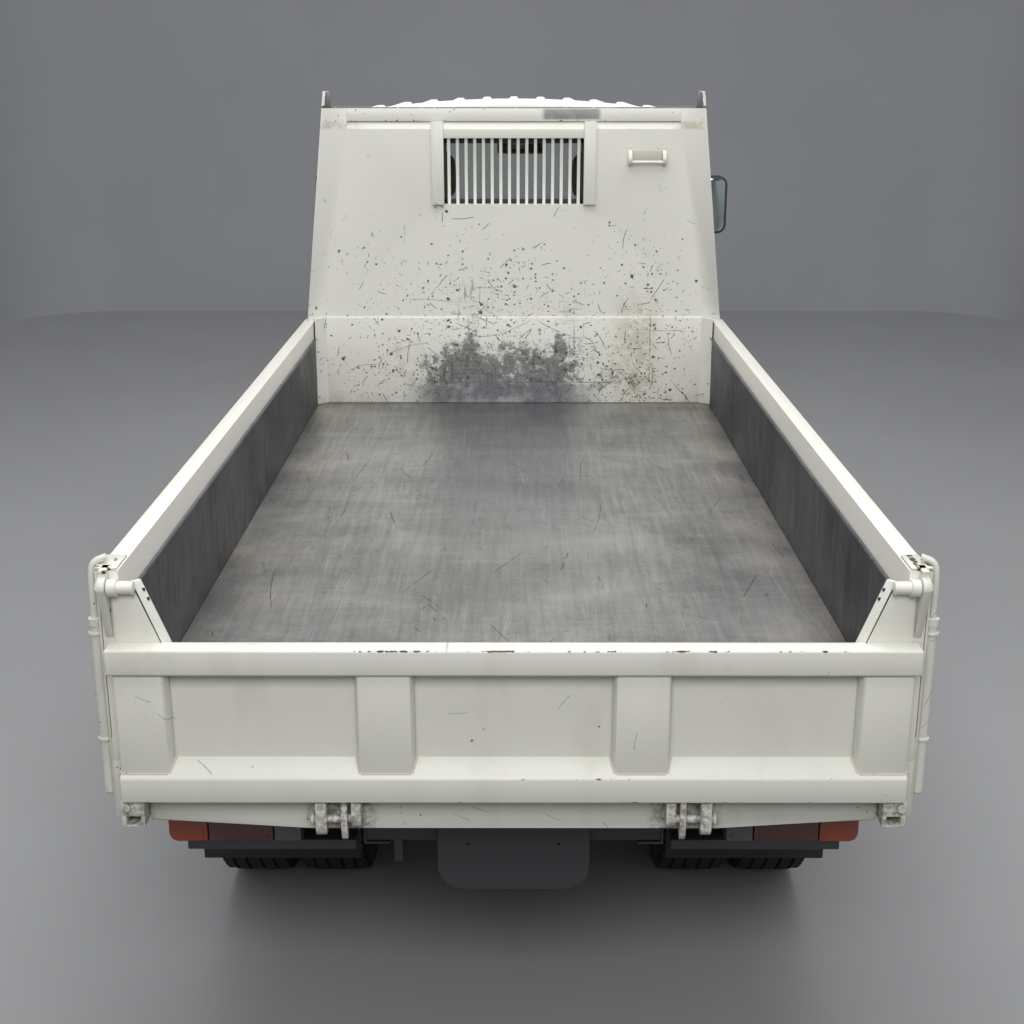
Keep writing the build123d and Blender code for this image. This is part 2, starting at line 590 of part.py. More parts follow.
def exhaust():
    """Down pipe, silencer and tail pipe under the left-hand side."""
    start, x, y, z = FRONT_AXLE_Y - 165, -RAIL_OUT - 210, REAR_AXLE_Y + 505, RAIL_Z[0] - 40
    route = FilletPolyline((-230, start, z + 10), (-230, y + 780, z + 10), (x, y + 650, z), (x, y, z),
                           (x - 240, y - 10, z - 20), radius=45)
    pipe = sweep(Plane(route @ 0, z_dir=route % 0) * Circle(24), path=route)
    pipe += rod_y(88, x, (y + 80, y + 590), z)
    for y0 in (y + 160, y + 490):
        pipe += box((x - 15, -RAIL_OUT), (y0, y0 + 30), (z + 76, z + 92))
    return pipe


def mudflaps():
    """Rubber flap behind each pair of rear wheels, on a bar off the frame rail."""
    y = REAR_AXLE_Y - TYRE_R - 75
    x = (REAR_TRACK / 2 - WHEEL_OFFSET - TYRE_W / 2, REAR_TRACK / 2 + WHEEL_OFFSET + TYRE_W / 2)
    flap = box(x, (y - 6, y), (250, RAIL_Z[1])) + box((RAIL_OUT, x[1]), (y, y + 30), (RAIL_Z[1] - 40, RAIL_Z[1] - 10))
    return both(flap)


# ------------------------------------------------------------------ rear lamps
LAMP_REAR_Y = REAR + 225.0
REAR_LAMP_X = (470.0, 770.0)
REAR_LAMP_Z = (570.0, 670.0)
REAR_LAMP_D = 55.0


def rear_lamps():
    """Rear lamp clusters, each with three lens fields."""
    lamp = box(REAR_LAMP_X, (LAMP_REAR_Y, LAMP_REAR_Y + REAR_LAMP_D), REAR_LAMP_Z)
    lamp = fillet(lamp.faces().sort_by(Axis.Y)[0].edges(), 6)
    for x in (580, 680):
        lamp -= box((x - 1.5, x + 1.5), (LAMP_REAR_Y - 1, LAMP_REAR_Y + 4), REAR_LAMP_Z)
    return both(lamp)


def rear_lamp_bracket():
    """Bar behind the frame that carries the lamps, and the number plate's holder."""
    y = (LAMP_REAR_Y + REAR_LAMP_D, LAMP_REAR_Y + REAR_LAMP_D + 6)
    low, high = REAR_LAMP_Z
    arm = box((RAIL_OUT + HINGE_PLATE_T, REAR_LAMP_X[1] - 40), y, (low - 25, high - 20))
    arm += box((RAIL_OUT + HINGE_PLATE_T, REAR_LAMP_X[1] - 20), (LAMP_REAR_Y + 10, y[1]), (low - 25, low))
    outer = RAIL_OUT + HINGE_PLATE_T
    arm += box((outer, outer + 12), (y[0], RAIL_REAR + 120), (low - 5, low + 40))
    holder_y = (RAIL_REAR - 50, RAIL_REAR - 46)
    holder = box((-175, 175), holder_y, (440, 605))
    holder = fillet(holder.edges().filter_by(Axis.Y).group_by(Axis.Z)[0], 60)
    for x in (-PLATE_BOLT_PITCH / 2, PLATE_BOLT_PITCH / 2):
        holder -= rod_y(PLATE_BOLT_R, x, (holder_y[0] - 1, holder_y[1] + 1), 560)
    holder += box((-60, 60), (holder_y[1], RAIL_REAR), (570, 600))
    return both(arm) + holder


# ------------------------------------------------------------------ hoist
def hoist_cylinder():
    """Barrel of the lifting cylinder, with its base eye and pin, along its axis at rest."""
    place = Pos(0, *HOIST_BASE) * Rot(HOIST_ANGLE, 0, 0)
    half = HOIST_EYE_W / 2
    barrel = rod_y(HOIST_BARREL_R, 0, (46, 500), 0)
    barrel -= rod_y(HOIST_ROD_R + RUN, 0, (100, 501), 0)
    barrel += box((-half + 6, half - 6), (0, 50), (-30, 30)) + rod_x(30, (-half + 6, half - 6), 0, 0)
    pin = half + 2 + HOIST_EAR_T
    return place * (barrel + rod_x(HOIST_PIN_R, (-pin, pin), 0, 0))


def hoist_rod():
    """Plunger and its top eye."""
    place = Pos(0, *HOIST_BASE) * Rot(HOIST_ANGLE, 0, 0)
    reach = ((HOIST_EYE[0] - HOIST_BASE[0]) ** 2 + (HOIST_EYE[1] - HOIST_BASE[1]) ** 2) ** 0.5
    half = HOIST_EYE_W / 2
    rod = rod_y(HOIST_ROD_R, 0, (104, reach - 20), 0) + rod_x(HOIST_EYE_R, (-half, half), reach, 0)
    return place * (rod - rod_x(HOIST_PIN_R, (-half - 1, half + 1), reach, 0))


# ------------------------------------------------------------------ bed
def bed_floor():
    """Load floor on its cross-members and two sills, with the hinge eyes and the hoist ears."""
    top = FLOOR_Z - FLOOR_T
    under = top - CROSS_MEMBER_H
    sill_low = under - SILL_H
    floor = box((-BED_HALF, BED_HALF), (BED_REAR_Y, HEAD_Y - HEAD_LAP_T), (top, FLOOR_Z))
    floor -= both(corner_strip())
    first, last = BED_REAR_Y + 90, HEAD_Y - CROSS_MEMBER_W
    for i in range(CROSS_MEMBERS):
        y = first + (last - first) * i / (CROSS_MEMBERS - 1)
        floor += box((-WALL_IN, WALL_IN), (y, y + CROSS_MEMBER_W), (under, top))
    sill = box(SILL_X, (BED_REAR_Y + 90, HEAD_Y), (sill_low, under))
    sill += rod_x(HINGE_EYE_R, SILL_X, HINGE_Y, HINGE_Z)
    sill += box(SILL_X, (HINGE_Y - HINGE_EYE_R, HINGE_Y + HINGE_EYE_R), (HINGE_Z, sill_low + 20))
    sill += rod_x(HINGE_PIN_R, (SILL_X[0] - GAP - HINGE_PLATE_T, RAIL_OUT + HINGE_PLATE_T), HINGE_Y, HINGE_Z)
    floor += both(sill)
    half = HOIST_EYE_W / 2 + 2
    y, z = HOIST_EYE
    ear = plate_x([(y - 60, under), (y - 30, z), (y + 30, z), (y + 60, under)], (half, half + HOIST_EAR_T))
    ear += rod_x(30, (half, half + HOIST_EAR_T), y, z) + box((half, half + HOIST_EAR_T), (y - 60, y + 60), (under, top))
    return floor + both(ear)


def bed_side():
    """Right-hand wall with its pressed rails and stiffening ribs."""
    z = (FLOOR_Z + WALL_BASE, WALL_TOP)
    front = HEAD_Y + HEAD_T
    wall = box((WALL_IN, WALL_OUT), (BED_REAR_Y, front), z)
    skin = WALL_OUT + 8
    wall += box((WALL_OUT, skin), (BED_REAR_Y, front), (z[1] - 45, z[1]))
    wall += box((WALL_OUT, skin), (BED_REAR_Y, front), (z[0], z[0] + 50))
    ribs = 7
    for i in range(ribs):
        y = BED_REAR_Y + (front - BED_REAR_Y - 60) * i / (ribs - 1)
        wall += box((WALL_OUT, skin - 2), (y, y + 60), z)
    return wall


def corner_strip():
    """Three-sided strip in the right-hand front corner of the load space."""
    y = HEAD_Y - HEAD_LAP_T
    corner = [(BED_HALF - CORNER_STRIP, y), (BED_HALF, y - CORNER_STRIP), (BED_HALF, y)]
    return plate_z(corner, (FLOOR_Z - FLOOR_T, FLOOR_Z + HEAD_LAP))


def bed_liners():
    """Wear plates on both walls with a rolled top edge, and the strips in the front corners."""
    y = (BED_REAR_Y, HEAD_Y - HEAD_LAP_T)
    liner = box((BED_HALF, WALL_IN), y, (FLOOR_Z - FLOOR_T, FLOOR_Z + LINER_H))
    liner += rod_y(LINER_T, BED_HALF, y, FLOOR_Z + LINER_H)
    return both(liner + corner_strip())


def head_half(height):
    """Half width of the headboard at a height above the load floor."""
    share = (height - WALL_H) / (HEAD_TIP - WALL_H)
    return HEAD_HALF_LOW + (HEAD_HALF_HIGH - HEAD_HALF_LOW) * share


def headboard():
    """Leaning-sided board with its lap plate, barred window, window posts, top rail and edge plates."""
    low, top = FLOOR_Z + WALL_BASE, FLOOR_Z + HEAD_RAIL[1]
    rail_low, ledge = FLOOR_Z + HEAD_RAIL[0], FLOOR_Z + HEAD_LEDGE
    y = (HEAD_Y, HEAD_Y + HEAD_T)
    edge = head_half(HEAD_RAIL[1])
    outline = [(-WALL_IN, low), (WALL_IN, low), (WALL_IN, WALL_TOP), (HEAD_HALF_LOW, WALL_TOP), (edge, top),
               (-edge, top), (-HEAD_HALF_LOW, WALL_TOP), (-WALL_IN, WALL_TOP)]
    board = plate_y(outline, y)
    slope = [(HEAD_Y, ledge), (HEAD_Y + 18, rail_low), (HEAD_Y + 18, top + 1), (HEAD_Y - 1, top + 1),
             (HEAD_Y - 1, ledge)]
    board -= plate_x(slope, (-650, 650))
    board += box((-edge, edge), (HEAD_Y + 8, HEAD_Y + 58), (rail_low, top))
    lap_half = BED_HALF - CORNER_STRIP
    board += box((-lap_half, lap_half), (HEAD_Y - HEAD_LAP_T, HEAD_Y), (FLOOR_Z - FLOOR_T, FLOOR_Z + HEAD_LAP))
    window = (FLOOR_Z + WINDOW_H[0], FLOOR_Z + WINDOW_H[1])
    board -= box((-WINDOW_HALF, WINDOW_HALF), (HEAD_Y - 1, HEAD_Y + HEAD_T + 1), window)
    post_x = (WINDOW_HALF, WINDOW_HALF + POST_W)
    board += both(box(post_x, (HEAD_Y - POST_PROUD, HEAD_Y), (window[0], rail_low)))
    for i in range(BARS):
        x = (i - (BARS - 1) / 2) * BAR_PITCH
        board += box((x - BAR_W / 2, x + BAR_W / 2), (HEAD_Y + 8, HEAD_Y + 26), window)
    tip = FLOOR_Z + HEAD_TIP
    inner, outer = HEAD_HALF_LOW - EDGE_PLATE_T, HEAD_HALF_LOW
    lean = HEAD_HALF_HIGH - HEAD_HALF_LOW
    plate = plate_y([(inner, WALL_TOP), (outer, WALL_TOP), (outer + lean, tip), (inner + lean, tip)],
                    (HEAD_Y, HEAD_Y + EDGE_PLATE_D))
    return board + both(plate)


def bed_rear_frame():
    """Corner posts with the tailgate's pivot plates, the rear beam and its square tube stubs."""
    low, high = FLOOR_Z + REAR_BEAM[0], FLOOR_Z + REAR_BEAM[1]
    beam_y = (REAR + REAR_BEAM_BACK, REAR + REAR_BEAM_BACK + REAR_BEAM_D)
    beam = box((-STUB_X[0], STUB_X[0]), beam_y, (low, high))
    for x in (-520, 0, 520):
        beam += box((x - 30, x + 30), (BED_REAR_Y, beam_y[1] + 30), (low, FLOOR_Z - FLOOR_T - CROSS_MEMBER_H))
    stub_y = (beam_y[0], BED_REAR_Y + 60)
    stub = box(STUB_X, stub_y, (low + 3, high))
    stub -= box((STUB_X[0] + STUB_T, STUB_X[1] - STUB_T), (stub_y[0] - 1, stub_y[0] + 60),
                (low + 3 + STUB_T, high - STUB_T))
    post_y = (BED_REAR_Y, BED_REAR_Y + 50)
    post = box((WALL_OUT + 8, WALL_OUT + 13), post_y, (low + 40, WALL_TOP))
    post += box((STUB_X[1] - 24, WALL_OUT + 13), post_y, (low + 3, FLOOR_Z + WALL_BASE))
    plate = rod_x(PIVOT_PLATE_R, PIVOT_PLATE_X, GATE_PIN_Y, GATE_PIN_Z)
    plate += box(PIVOT_PLATE_X, (GATE_PIN_Y, BED_REAR_Y), (GATE_PIN_Z - PIVOT_PLATE_R, GATE_PIN_Z + PIVOT_PLATE_R))
    plate -= rod_x(GATE_PIN_R + RUN, (PIVOT_PLATE_X[0] - 1, PIVOT_PLATE_X[1] + 1), GATE_PIN_Y, GATE_PIN_Z)
    plate -= box((WALL_IN, WALL_OUT), (BED_REAR_Y, BED_REAR_Y + 2 * PIVOT_PLATE_R), (FLOOR_Z, 2 * WALL_TOP))
    cap = box((PIVOT_PLATE_X[0], WALL_OUT + 13), (BED_REAR_Y, BED_REAR_Y + 50), (WALL_TOP, WALL_TOP + 6))
    bridge = box((PIVOT_PLATE_X[0], PIVOT_PLATE_X[1]), (BED_REAR_Y - 10, BED_REAR_Y + 20), (WALL_TOP, WALL_TOP + 6))
    return beam + both(stub + post) + both(plate + cap + bridge)


def gate_locks():
    """Lock levers outside the corner posts and the two hook sets under the tailgate."""
    y = BED_REAR_Y + 22
    outer = WALL_OUT + 13
    x = outer + LOCK_TUBE_R + 6
    lever = rod_z(LOCK_TUBE_R, x, y, (FLOOR_Z - 120, FLOOR_Z + 230))
    lever += rod_z(LOCK_ROD_R, x, y, (FLOOR_Z + 230, WALL_TOP - 8))
    lever += rod_between(LOCK_ROD_R, (x, y, WALL_TOP - 12), (x, y - 60, WALL_TOP + 26))
    lever += Pos(x, y - 60, WALL_TOP + 26) * Sphere(LOCK_ROD_R + 2)
    lever += rod_z(LOCK_TUBE_R + 4, x, y, (FLOOR_Z + 222, FLOOR_Z + 236))
    lever += Pos(x, y, FLOOR_Z - 124) * Sphere(LOCK_TUBE_R + 2)
    for z in (FLOOR_Z - 70, FLOOR_Z + 180):
        lever += box((outer, x), (y - 8, y + 8), (z, z + 24))
    low = FLOOR_Z + REAR_BEAM[0]
    face = REAR + REAR_BEAM_BACK
    hook = box((LOCK_X[0], LOCK_X[0] + 16), (face - 8, face + 30), (low - 30, low))
    hook += box((LOCK_X[1] - 14, LOCK_X[1]), (face - 8, face + 30), (low - 24, low))
    hook += rod_x(7, LOCK_X, face + 8, low - 14)
    hook += box((LOCK_X[0] + 30, LOCK_X[0] + 42), (face - 2, face + 20), (low - 45, low - 8))
    return both(lever) + both(hook)


def tailgate():
    """Pressed tailgate: skin, rails, stiles and ribs, with ears up to its pivot pins."""
    top, rail_low = FLOOR_Z + GATE_TOP, FLOOR_Z + GATE_RAIL_LOW
    ledge, ledge_out = FLOOR_Z + GATE_LEDGE, FLOOR_Z + GATE_LEDGE_OUT
    bottom = FLOOR_Z + GATE_BOTTOM
    skin_y = GATE_IN_Y - GATE_SKIN
    gate = box((-GATE_HALF, GATE_HALF), (skin_y, GATE_IN_Y), (bottom, top))
    gate += box((-GATE_HALF, GATE_HALF), (REAR, GATE_IN_Y), (rail_low, top))
    sill = [(REAR, bottom), (GATE_IN_Y, bottom), (GATE_IN_Y, ledge), (skin_y, ledge), (REAR, ledge_out)]
    gate += plate_x(sill, (-GATE_HALF, GATE_HALF))
    deep, foot = RIB_W / 2, RIB_W / 2 + 8
    rib = plate_z([(RIB_X - foot, skin_y), (RIB_X - deep, REAR), (RIB_X + deep, REAR), (RIB_X + foot, skin_y)],
                  (ledge_out, rail_low))
    inner = GATE_HALF - STILE_W
    stile = plate_z([(inner, skin_y), (inner + STILE_SLOPE, REAR), (GATE_HALF, REAR), (GATE_HALF, skin_y)],
                    (ledge_out, rail_low))
    gate += both(rib) + both(stile)
    ear_y = (REAR + 22, REAR + 34)
    ear_top = FLOOR_Z + EAR_TOP
    ear = plate_y([(704, top), (GATE_HALF - 3.5, top), (790, ear_top - 14), (786, ear_top), (762, ear_top),
                   (757, ear_top - 5)], ear_y)
    flange = plate_y([(704, top), (716, top), (767, ear_top), (757, ear_top)], (REAR + 8, ear_y[1]))
    boss = rod_x(GATE_BOSS_R, GATE_BOSS_X, GATE_PIN_Y, GATE_PIN_Z)
    boss += box((770, GATE_BOSS_X[0] + 4), (ear_y[0], GATE_PIN_Y + 10), (GATE_PIN_Z - 16, GATE_PIN_Z + 16))
    pin = rod_x(GATE_PIN_R, (GATE_BOSS_X[0], PIVOT_PLATE_X[1]), GATE_PIN_Y, GATE_PIN_Z)
    return gate + both(ear + flange + boss + pin)


# ------------------------------------------------------------------ cab shell
def cab_plan(inset, z):
    """Plan of the cab at height z: bowed front, rounded front corners, open-ended back."""
    half, nose, side = CAB_HALF - inset + PLAN_SPARE, CAB_NOSE - inset, CAB_NOSE - CAB_NOSE_BOW - inset
    back = CAB_BACK - 600
    face = make_face(
        Polyline((-half, side, z), (-half, back, z), (half, back, z), (half, side, z))
        + ThreePointArc((half, side, z), (0, nose, z), (-half, side, z)))
    corners = face.vertices().group_by(Axis.Y)[-1]
    return fillet(corners, CAB_CORNER - inset)


def raked_prism(inset, top):
    """The cab's plan carried up from the belt, leaning back with the screen."""
    length = (top - BELT_Z) * (1 + SCREEN_RAKE ** 2) ** 0.5
    return extrude(cab_plan(inset, BELT_Z), length, dir=(0, -SCREEN_RAKE, 1))


def cab_hull(inset, bottom=CAB_BOTTOM):
    """Solid outline of the cab, inset from its outer face and down to a given height."""
    top = ROOF_Z + 80
    half = CAB_HALF - inset
    roof_x, roof_z = ROOF_SIDE[0] - inset, ROOF_SIDE[1] - inset
    back = CAB_BACK - 600
    arch = (Polyline((-roof_x, back, roof_z), (-half, back, BELT_Z), (-half, back, bottom), (half, back, bottom),
                     (half, back, BELT_Z), (roof_x, back, roof_z))
            + ThreePointArc((roof_x, back, roof_z), (0, back, ROOF_Z - inset), (-roof_x, back, roof_z)))
    section = make_face(arch)
    corners = [v for v in section.vertices() if abs(v.Z - roof_z) < 1]
    section = fillet(corners, 75 - inset)
    tube = extrude(section, FRONT - back, dir=(0, 1, 0))
    lower = extrude(cab_plan(inset, bottom), BELT_Z - bottom, dir=(0, 0, 1))
    upper = raked_prism(inset, top)
    space = box((-CAB_HALF, CAB_HALF), (CAB_BACK + inset, FRONT), (bottom, top))
    return tube & (lower + upper) & space


def raked(y, z):
    """A place on a line that stands plumb up to the belt and then leans back with the screen."""
    return y - SCREEN_RAKE * max(0.0, z - BELT_Z)


def side_outline(y, z, inset, radius):
    """Door-like outline in the (y, z) plane, leaning back above the belt."""
    y0, y1 = y[0] + inset, y[1] - inset
    z0, z1 = z[0] + inset, z[1] - inset
    points = [(0, y0, z0), (0, y1, z0), (0, y1, BELT_Z), (0, raked(y1, z1), z1), (0, y0, z1)]
    face = make_face(Polyline(*(points if z0 < BELT_Z else points[:1] + [(0, raked(y1, z0), z0)] + points[3:]),
                              close=True))
    corners = [v for v in face.vertices() if abs(v.Z - z0) < 1 or abs(v.Z - z1) < 1]
    return Pos(CAB_HALF - 260, 0, 0) * extrude(fillet(corners, radius), 300, dir=(1, 0, 0))


def slab(y, z):
    """Full-width region of the cab between two y and two z values."""
    return box((-CAB_HALF - 1, CAB_HALF + 1), y, z)


def front_region():
    """Region of the cab ahead of the doors."""
    y1, top = DOOR_Y[1], ROOF_SPLIT
    outline = [(y1, CAB_BOTTOM - 1), (FRONT, CAB_BOTTOM - 1), (FRONT, top), (raked(y1, top), top), (y1, BELT_Z)]
    return plate_x(outline, (-CAB_HALF - 1, CAB_HALF + 1))


class Cab:
    """The cab's panels, cut from one shell so that their edges meet."""

    def __init__(self):
        self.outer = cab_hull(0)
        self.inner = cab_hull(WALL, bottom=0)
        self.screen_cut = box((-SCREEN_HALF, SCREEN_HALF), (CAB_BACK + 600, FRONT), SCREEN_Z)
        self.rear_cut = box((-REAR_WINDOW_HALF, REAR_WINDOW_HALF), (CAB_BACK - 1, CAB_BACK + WALL + 1), REAR_WINDOW_Z)
        self.front_zone = front_region()

    def skin(self, zone):
        """The part of the shell that lies in a zone."""
        return (self.outer & zone) - self.inner

    def roof(self):
        """Roof panel with its lengthwise ribs."""
        roof = self.skin(slab((CAB_BACK - 1, FRONT), (ROOF_SPLIT, ROOF_Z + 50)))
        drop = (ROOF_Z - ROOF_SIDE[1]) / ROOF_SIDE[0] ** 2
        for i in range(ROOF_RIBS):
            x = (i - (ROOF_RIBS - 1) / 2) * ROOF_RIB_PITCH
            top = ROOF_Z - drop * x * x + ROOF_RIB_H
            ends = (CAB_BACK + 60, raked(CAB_NOSE, ROOF_Z) - 110)
            rib = box((x - ROOF_RIB_W / 2, x + ROOF_RIB_W / 2), ends, (top - ROOF_RIB_H - 25, top))
            roof += chamfer(rib.faces().sort_by(Axis.Z)[-1].edges(), 8)
        return roof

    def back(self):
        """Back panel with the rear window cut out."""
        return self.skin(slab((CAB_BACK - 1, CAB_BACK + WALL), (DECK_Z - PANEL_T, ROOF_SPLIT))) - self.rear_cut

    def front(self):
        """Front panel and screen frame, with recesses for the lamps and the grille, and the door hinges' leaves."""
        panel = self.skin(self.front_zone) - self.screen_cut - self.lamp_zone() - self.grille_zone()
        for z in DOOR_HINGE_Z:
            span = (z - DOOR_HINGE_H, z + DOOR_HINGE_H)
            leaf = box((CAB_HALF - 2, DOOR_HINGE_X), (DOOR_HINGE_Y, DOOR_HINGE_Y + 34), span)
            leaf += rod_z(DOOR_HINGE_R, DOOR_HINGE_X, DOOR_HINGE_Y, span)
            leaf -= rod_z(DOOR_PIN_R + RUN, DOOR_HINGE_X, DOOR_HINGE_Y, (span[0] - 1, span[1] + 1))
            panel += both(leaf)
        return panel

    def lamp_zone(self):
        """Space the two headlamps fill in the front panel."""
        return both(box(LAMP_X, (CAB_NOSE - 200, FRONT), LAMP_Z))

    def grille_zone(self):
        """Space the grille fills in the front panel."""
        return box((-GRILLE_HALF, GRILLE_HALF), (CAB_NOSE - 200, FRONT), GRILLE_Z)

    def headlamps(self):
        """Headlamp blocks flush with the front panel."""
        return self.skin(self.lamp_zone())

    def grille(self):
        """Slatted grille with its frame."""
        block = self.skin(self.grille_zone())
        low, high = GRILLE_Z
        pitch = (high - low - 16) / GRILLE_SLATS
        for i in range(GRILLE_SLATS):
            z = low + 16 + pitch * i
            block -= box((-GRILLE_HALF + 16, GRILLE_HALF - 16), (CAB_NOSE - 200, FRONT), (z, z + pitch - 16))
        return block

    def side(self):
        """Right-hand pillar, sill with the wheel arch, and the entry step."""
        x = (CAB_HALF / 2, CAB_HALF + 1)
        rear = box((CAB_HALF - WALL, x[1]), (CAB_BACK - 1, CAB_BACK + WALL), (CAB_BOTTOM, DECK_Z - PANEL_T))
        main = box(x, (CAB_BACK + WALL, FRONT), (CAB_BOTTOM, ROOF_SPLIT)) - self.front_zone
        panel = self.skin(rear + main)
        panel -= side_outline(DOOR_Y, DOOR_Z, 0, DOOR_CORNER)
        panel -= rod_x(ARCH_R, (CAB_HALF - 200, CAB_HALF + 10), FRONT_AXLE_Y, AXLE_Z)
        inner, outer = CAB_HALF - 190, CAB_HALF - 5
        wall = 12
        panel += box((inner, outer), STEP_Y, (STEP_Z, STEP_Z + wall))
        panel += box((inner, inner + wall), STEP_Y, (STEP_Z, CAB_BOTTOM + 40))
        for y in (STEP_Y[0], STEP_Y[1] - wall):
            panel += box((inner, outer), (y, y + wall), (STEP_Z, CAB_BOTTOM))
        panel += box((inner, CAB_HALF - WALL), STEP_Y, (CAB_BOTTOM, CAB_BOTTOM + wall))
        return panel

    def floor(self):
        """Stepped floor with the seat deck and the two tilt hinge eyes."""
        wall = PANEL_T
        deck = slab((CAB_BACK + WALL, DECK_Y), (DECK_Z - wall, DECK_Z))
        riser = slab((DECK_Y - wall, DECK_Y), (FOOT_Z - wall, DECK_Z))
        foot = slab((DECK_Y - wall, FRONT), (FOOT_Z - wall, FOOT_Z))
        floor = (deck + riser + foot) & self.inner
        eye = rod_x(TILT_EYE_R, SILL_X, TILT_Y, TILT_Z)
        eye += box(SILL_X, (TILT_Y - 20, TILT_Y + 20), (TILT_Z, FOOT_Z - wall + 5))
        eye += rod_x(TILT_PIN_R, (SILL_X[0], RAIL_OUT + HINGE_PLATE_T), TILT_Y, TILT_Z)
        return floor + both(eye)

    def glass(self):
        """Windscreen and rear window."""
        top = ROOF_Z + 80
        screen = (raked_prism(GLASS_IN, top) & self.screen_cut) - raked_prism(GLASS_IN + GLASS_T, top)
        rear = box((-REAR_WINDOW_HALF, REAR_WINDOW_HALF), (CAB_BACK + GLASS_IN, CAB_BACK + GLASS_IN + GLASS_T),
                   REAR_WINDOW_Z)
        return screen + rear

    def door(self):
        """Right-hand door with its window cut out, and the pane that fills it."""
        outline = side_outline(DOOR_Y, DOOR_Z, DOOR_GAP, DOOR_CORNER - DOOR_GAP)
        window = side_outline(DOOR_WINDOW_Y, DOOR_WINDOW_Z, 0, 40)
        pane = (cab_hull(GLASS_IN) & window) - cab_hull(GLASS_IN + GLASS_T, bottom=0)
        door = self.skin(outline) - window
        edge = DOOR_Y[1] - DOOR_GAP
        for z in DOOR_HINGE_Z:
            door += rod_z(DOOR_PIN_R, DOOR_HINGE_X, DOOR_HINGE_Y, (z - 2 * DOOR_HINGE_H, z + 2 * DOOR_HINGE_H))
            for low in (z - 2 * DOOR_HINGE_H, z + DOOR_HINGE_H + 1):
                span = (low, low + DOOR_HINGE_H - 1)
                door += rod_z(DOOR_HINGE_R, DOOR_HINGE_X, DOOR_HINGE_Y, span)
                door += box((CAB_HALF - 2, DOOR_HINGE_X), (edge - 30, edge), span)
                door += box((CAB_HALF + 2, DOOR_HINGE_X), (edge - 1, DOOR_HINGE_Y), span)
        return door, pane

    def mirrors(self):
        """Door mirrors on their stays and the interior mirror."""
        low, high = MIRROR_Z
        x, y = CAB_HALF + 145, CAB_NOSE - 45
        head = fillet(box((x - 75, x + 75), (y - 30, y + 35), MIRROR_Z).edges(), 22)
        stays = rod_between(9, (x, y, low + 21), (CAB_HALF - 40, y - 105, low - 49))
        stays += rod_between(9, (x, y, high - 17), (CAB_HALF - 130, y - 225, high + 143))
        top = SCREEN_Z[1]
        inside = box((-67, 153), (CAB_NOSE - 215, CAB_NOSE - 195), (top - 95, top - 35))
        inside = fillet(inside.edges().filter_by(Axis.Y), 20)
        inside += box((35, 55), (CAB_NOSE - 206, CAB_NOSE - 198), (top - 45, top))
        return both((head + stays) - self.outer) + inside

    def dashboard(self):
        """Instrument panel across the cab, with the column and the steering wheel."""
        y = CAB_NOSE - 310
        outline = [(y, BELT_Z - 280), (y + 270, BELT_Z - 280), (y + 270, BELT_Z - 10), (y + 130, BELT_Z + 5),
                   (y - 5, BELT_Z - 50)]
        panel = plate_x(outline, (-CAB_HALF, CAB_HALF)) & self.inner
        hub = Vector(DRIVER_X, y - 190, BELT_Z + 60)
        foot = Vector(DRIVER_X, y + 20, BELT_Z - 190)
        axis = (hub - foot).normalized()
        wheel = Plane(hub, z_dir=axis) * Torus(195, 14)
        wheel += Plane(hub, z_dir=axis) * Cylinder(45, 30)
        for turn in (0, 90, 180):
            wheel += Plane(hub, z_dir=axis) * Rot(0, 0, turn) * Pos(110, 0, 0) * Box(180, 26, 10)
        return panel + wheel + rod_between(26, foot, hub)


def seats():
    """Two outer seats with head rests and a low middle seat, on the deck."""
    half, y = SEAT_W / 2, CAB_BACK + 250
    # x range, back top, head rest top
    table = (((DRIVER_X - half, DRIVER_X + half), BELT_Z + 360, BELT_Z + 510),
             ((-150, 150), BELT_Z + 220, 0),
             ((-DRIVER_X - half, -DRIVER_X + half), BELT_Z + 360, BELT_Z + 510))
    parts = []
    for x, back_top, rest_top in table:
        seat = fillet(box(x, (y + 70, y + 570), (DECK_Z, DECK_Z + 130)).edges().filter_by(Axis.X), 30)
        back = plate_x([(y, DECK_Z), (y + 120, DECK_Z), (y + 30, back_top), (y - 80, back_top)], x)
        seat += back
        if rest_top:
            middle = (x[0] + x[1]) / 2
            seat += box((middle - 130, middle + 130), (y - 90, y), (back_top - 10, rest_top))
        parts.append(seat)
    return total(parts)


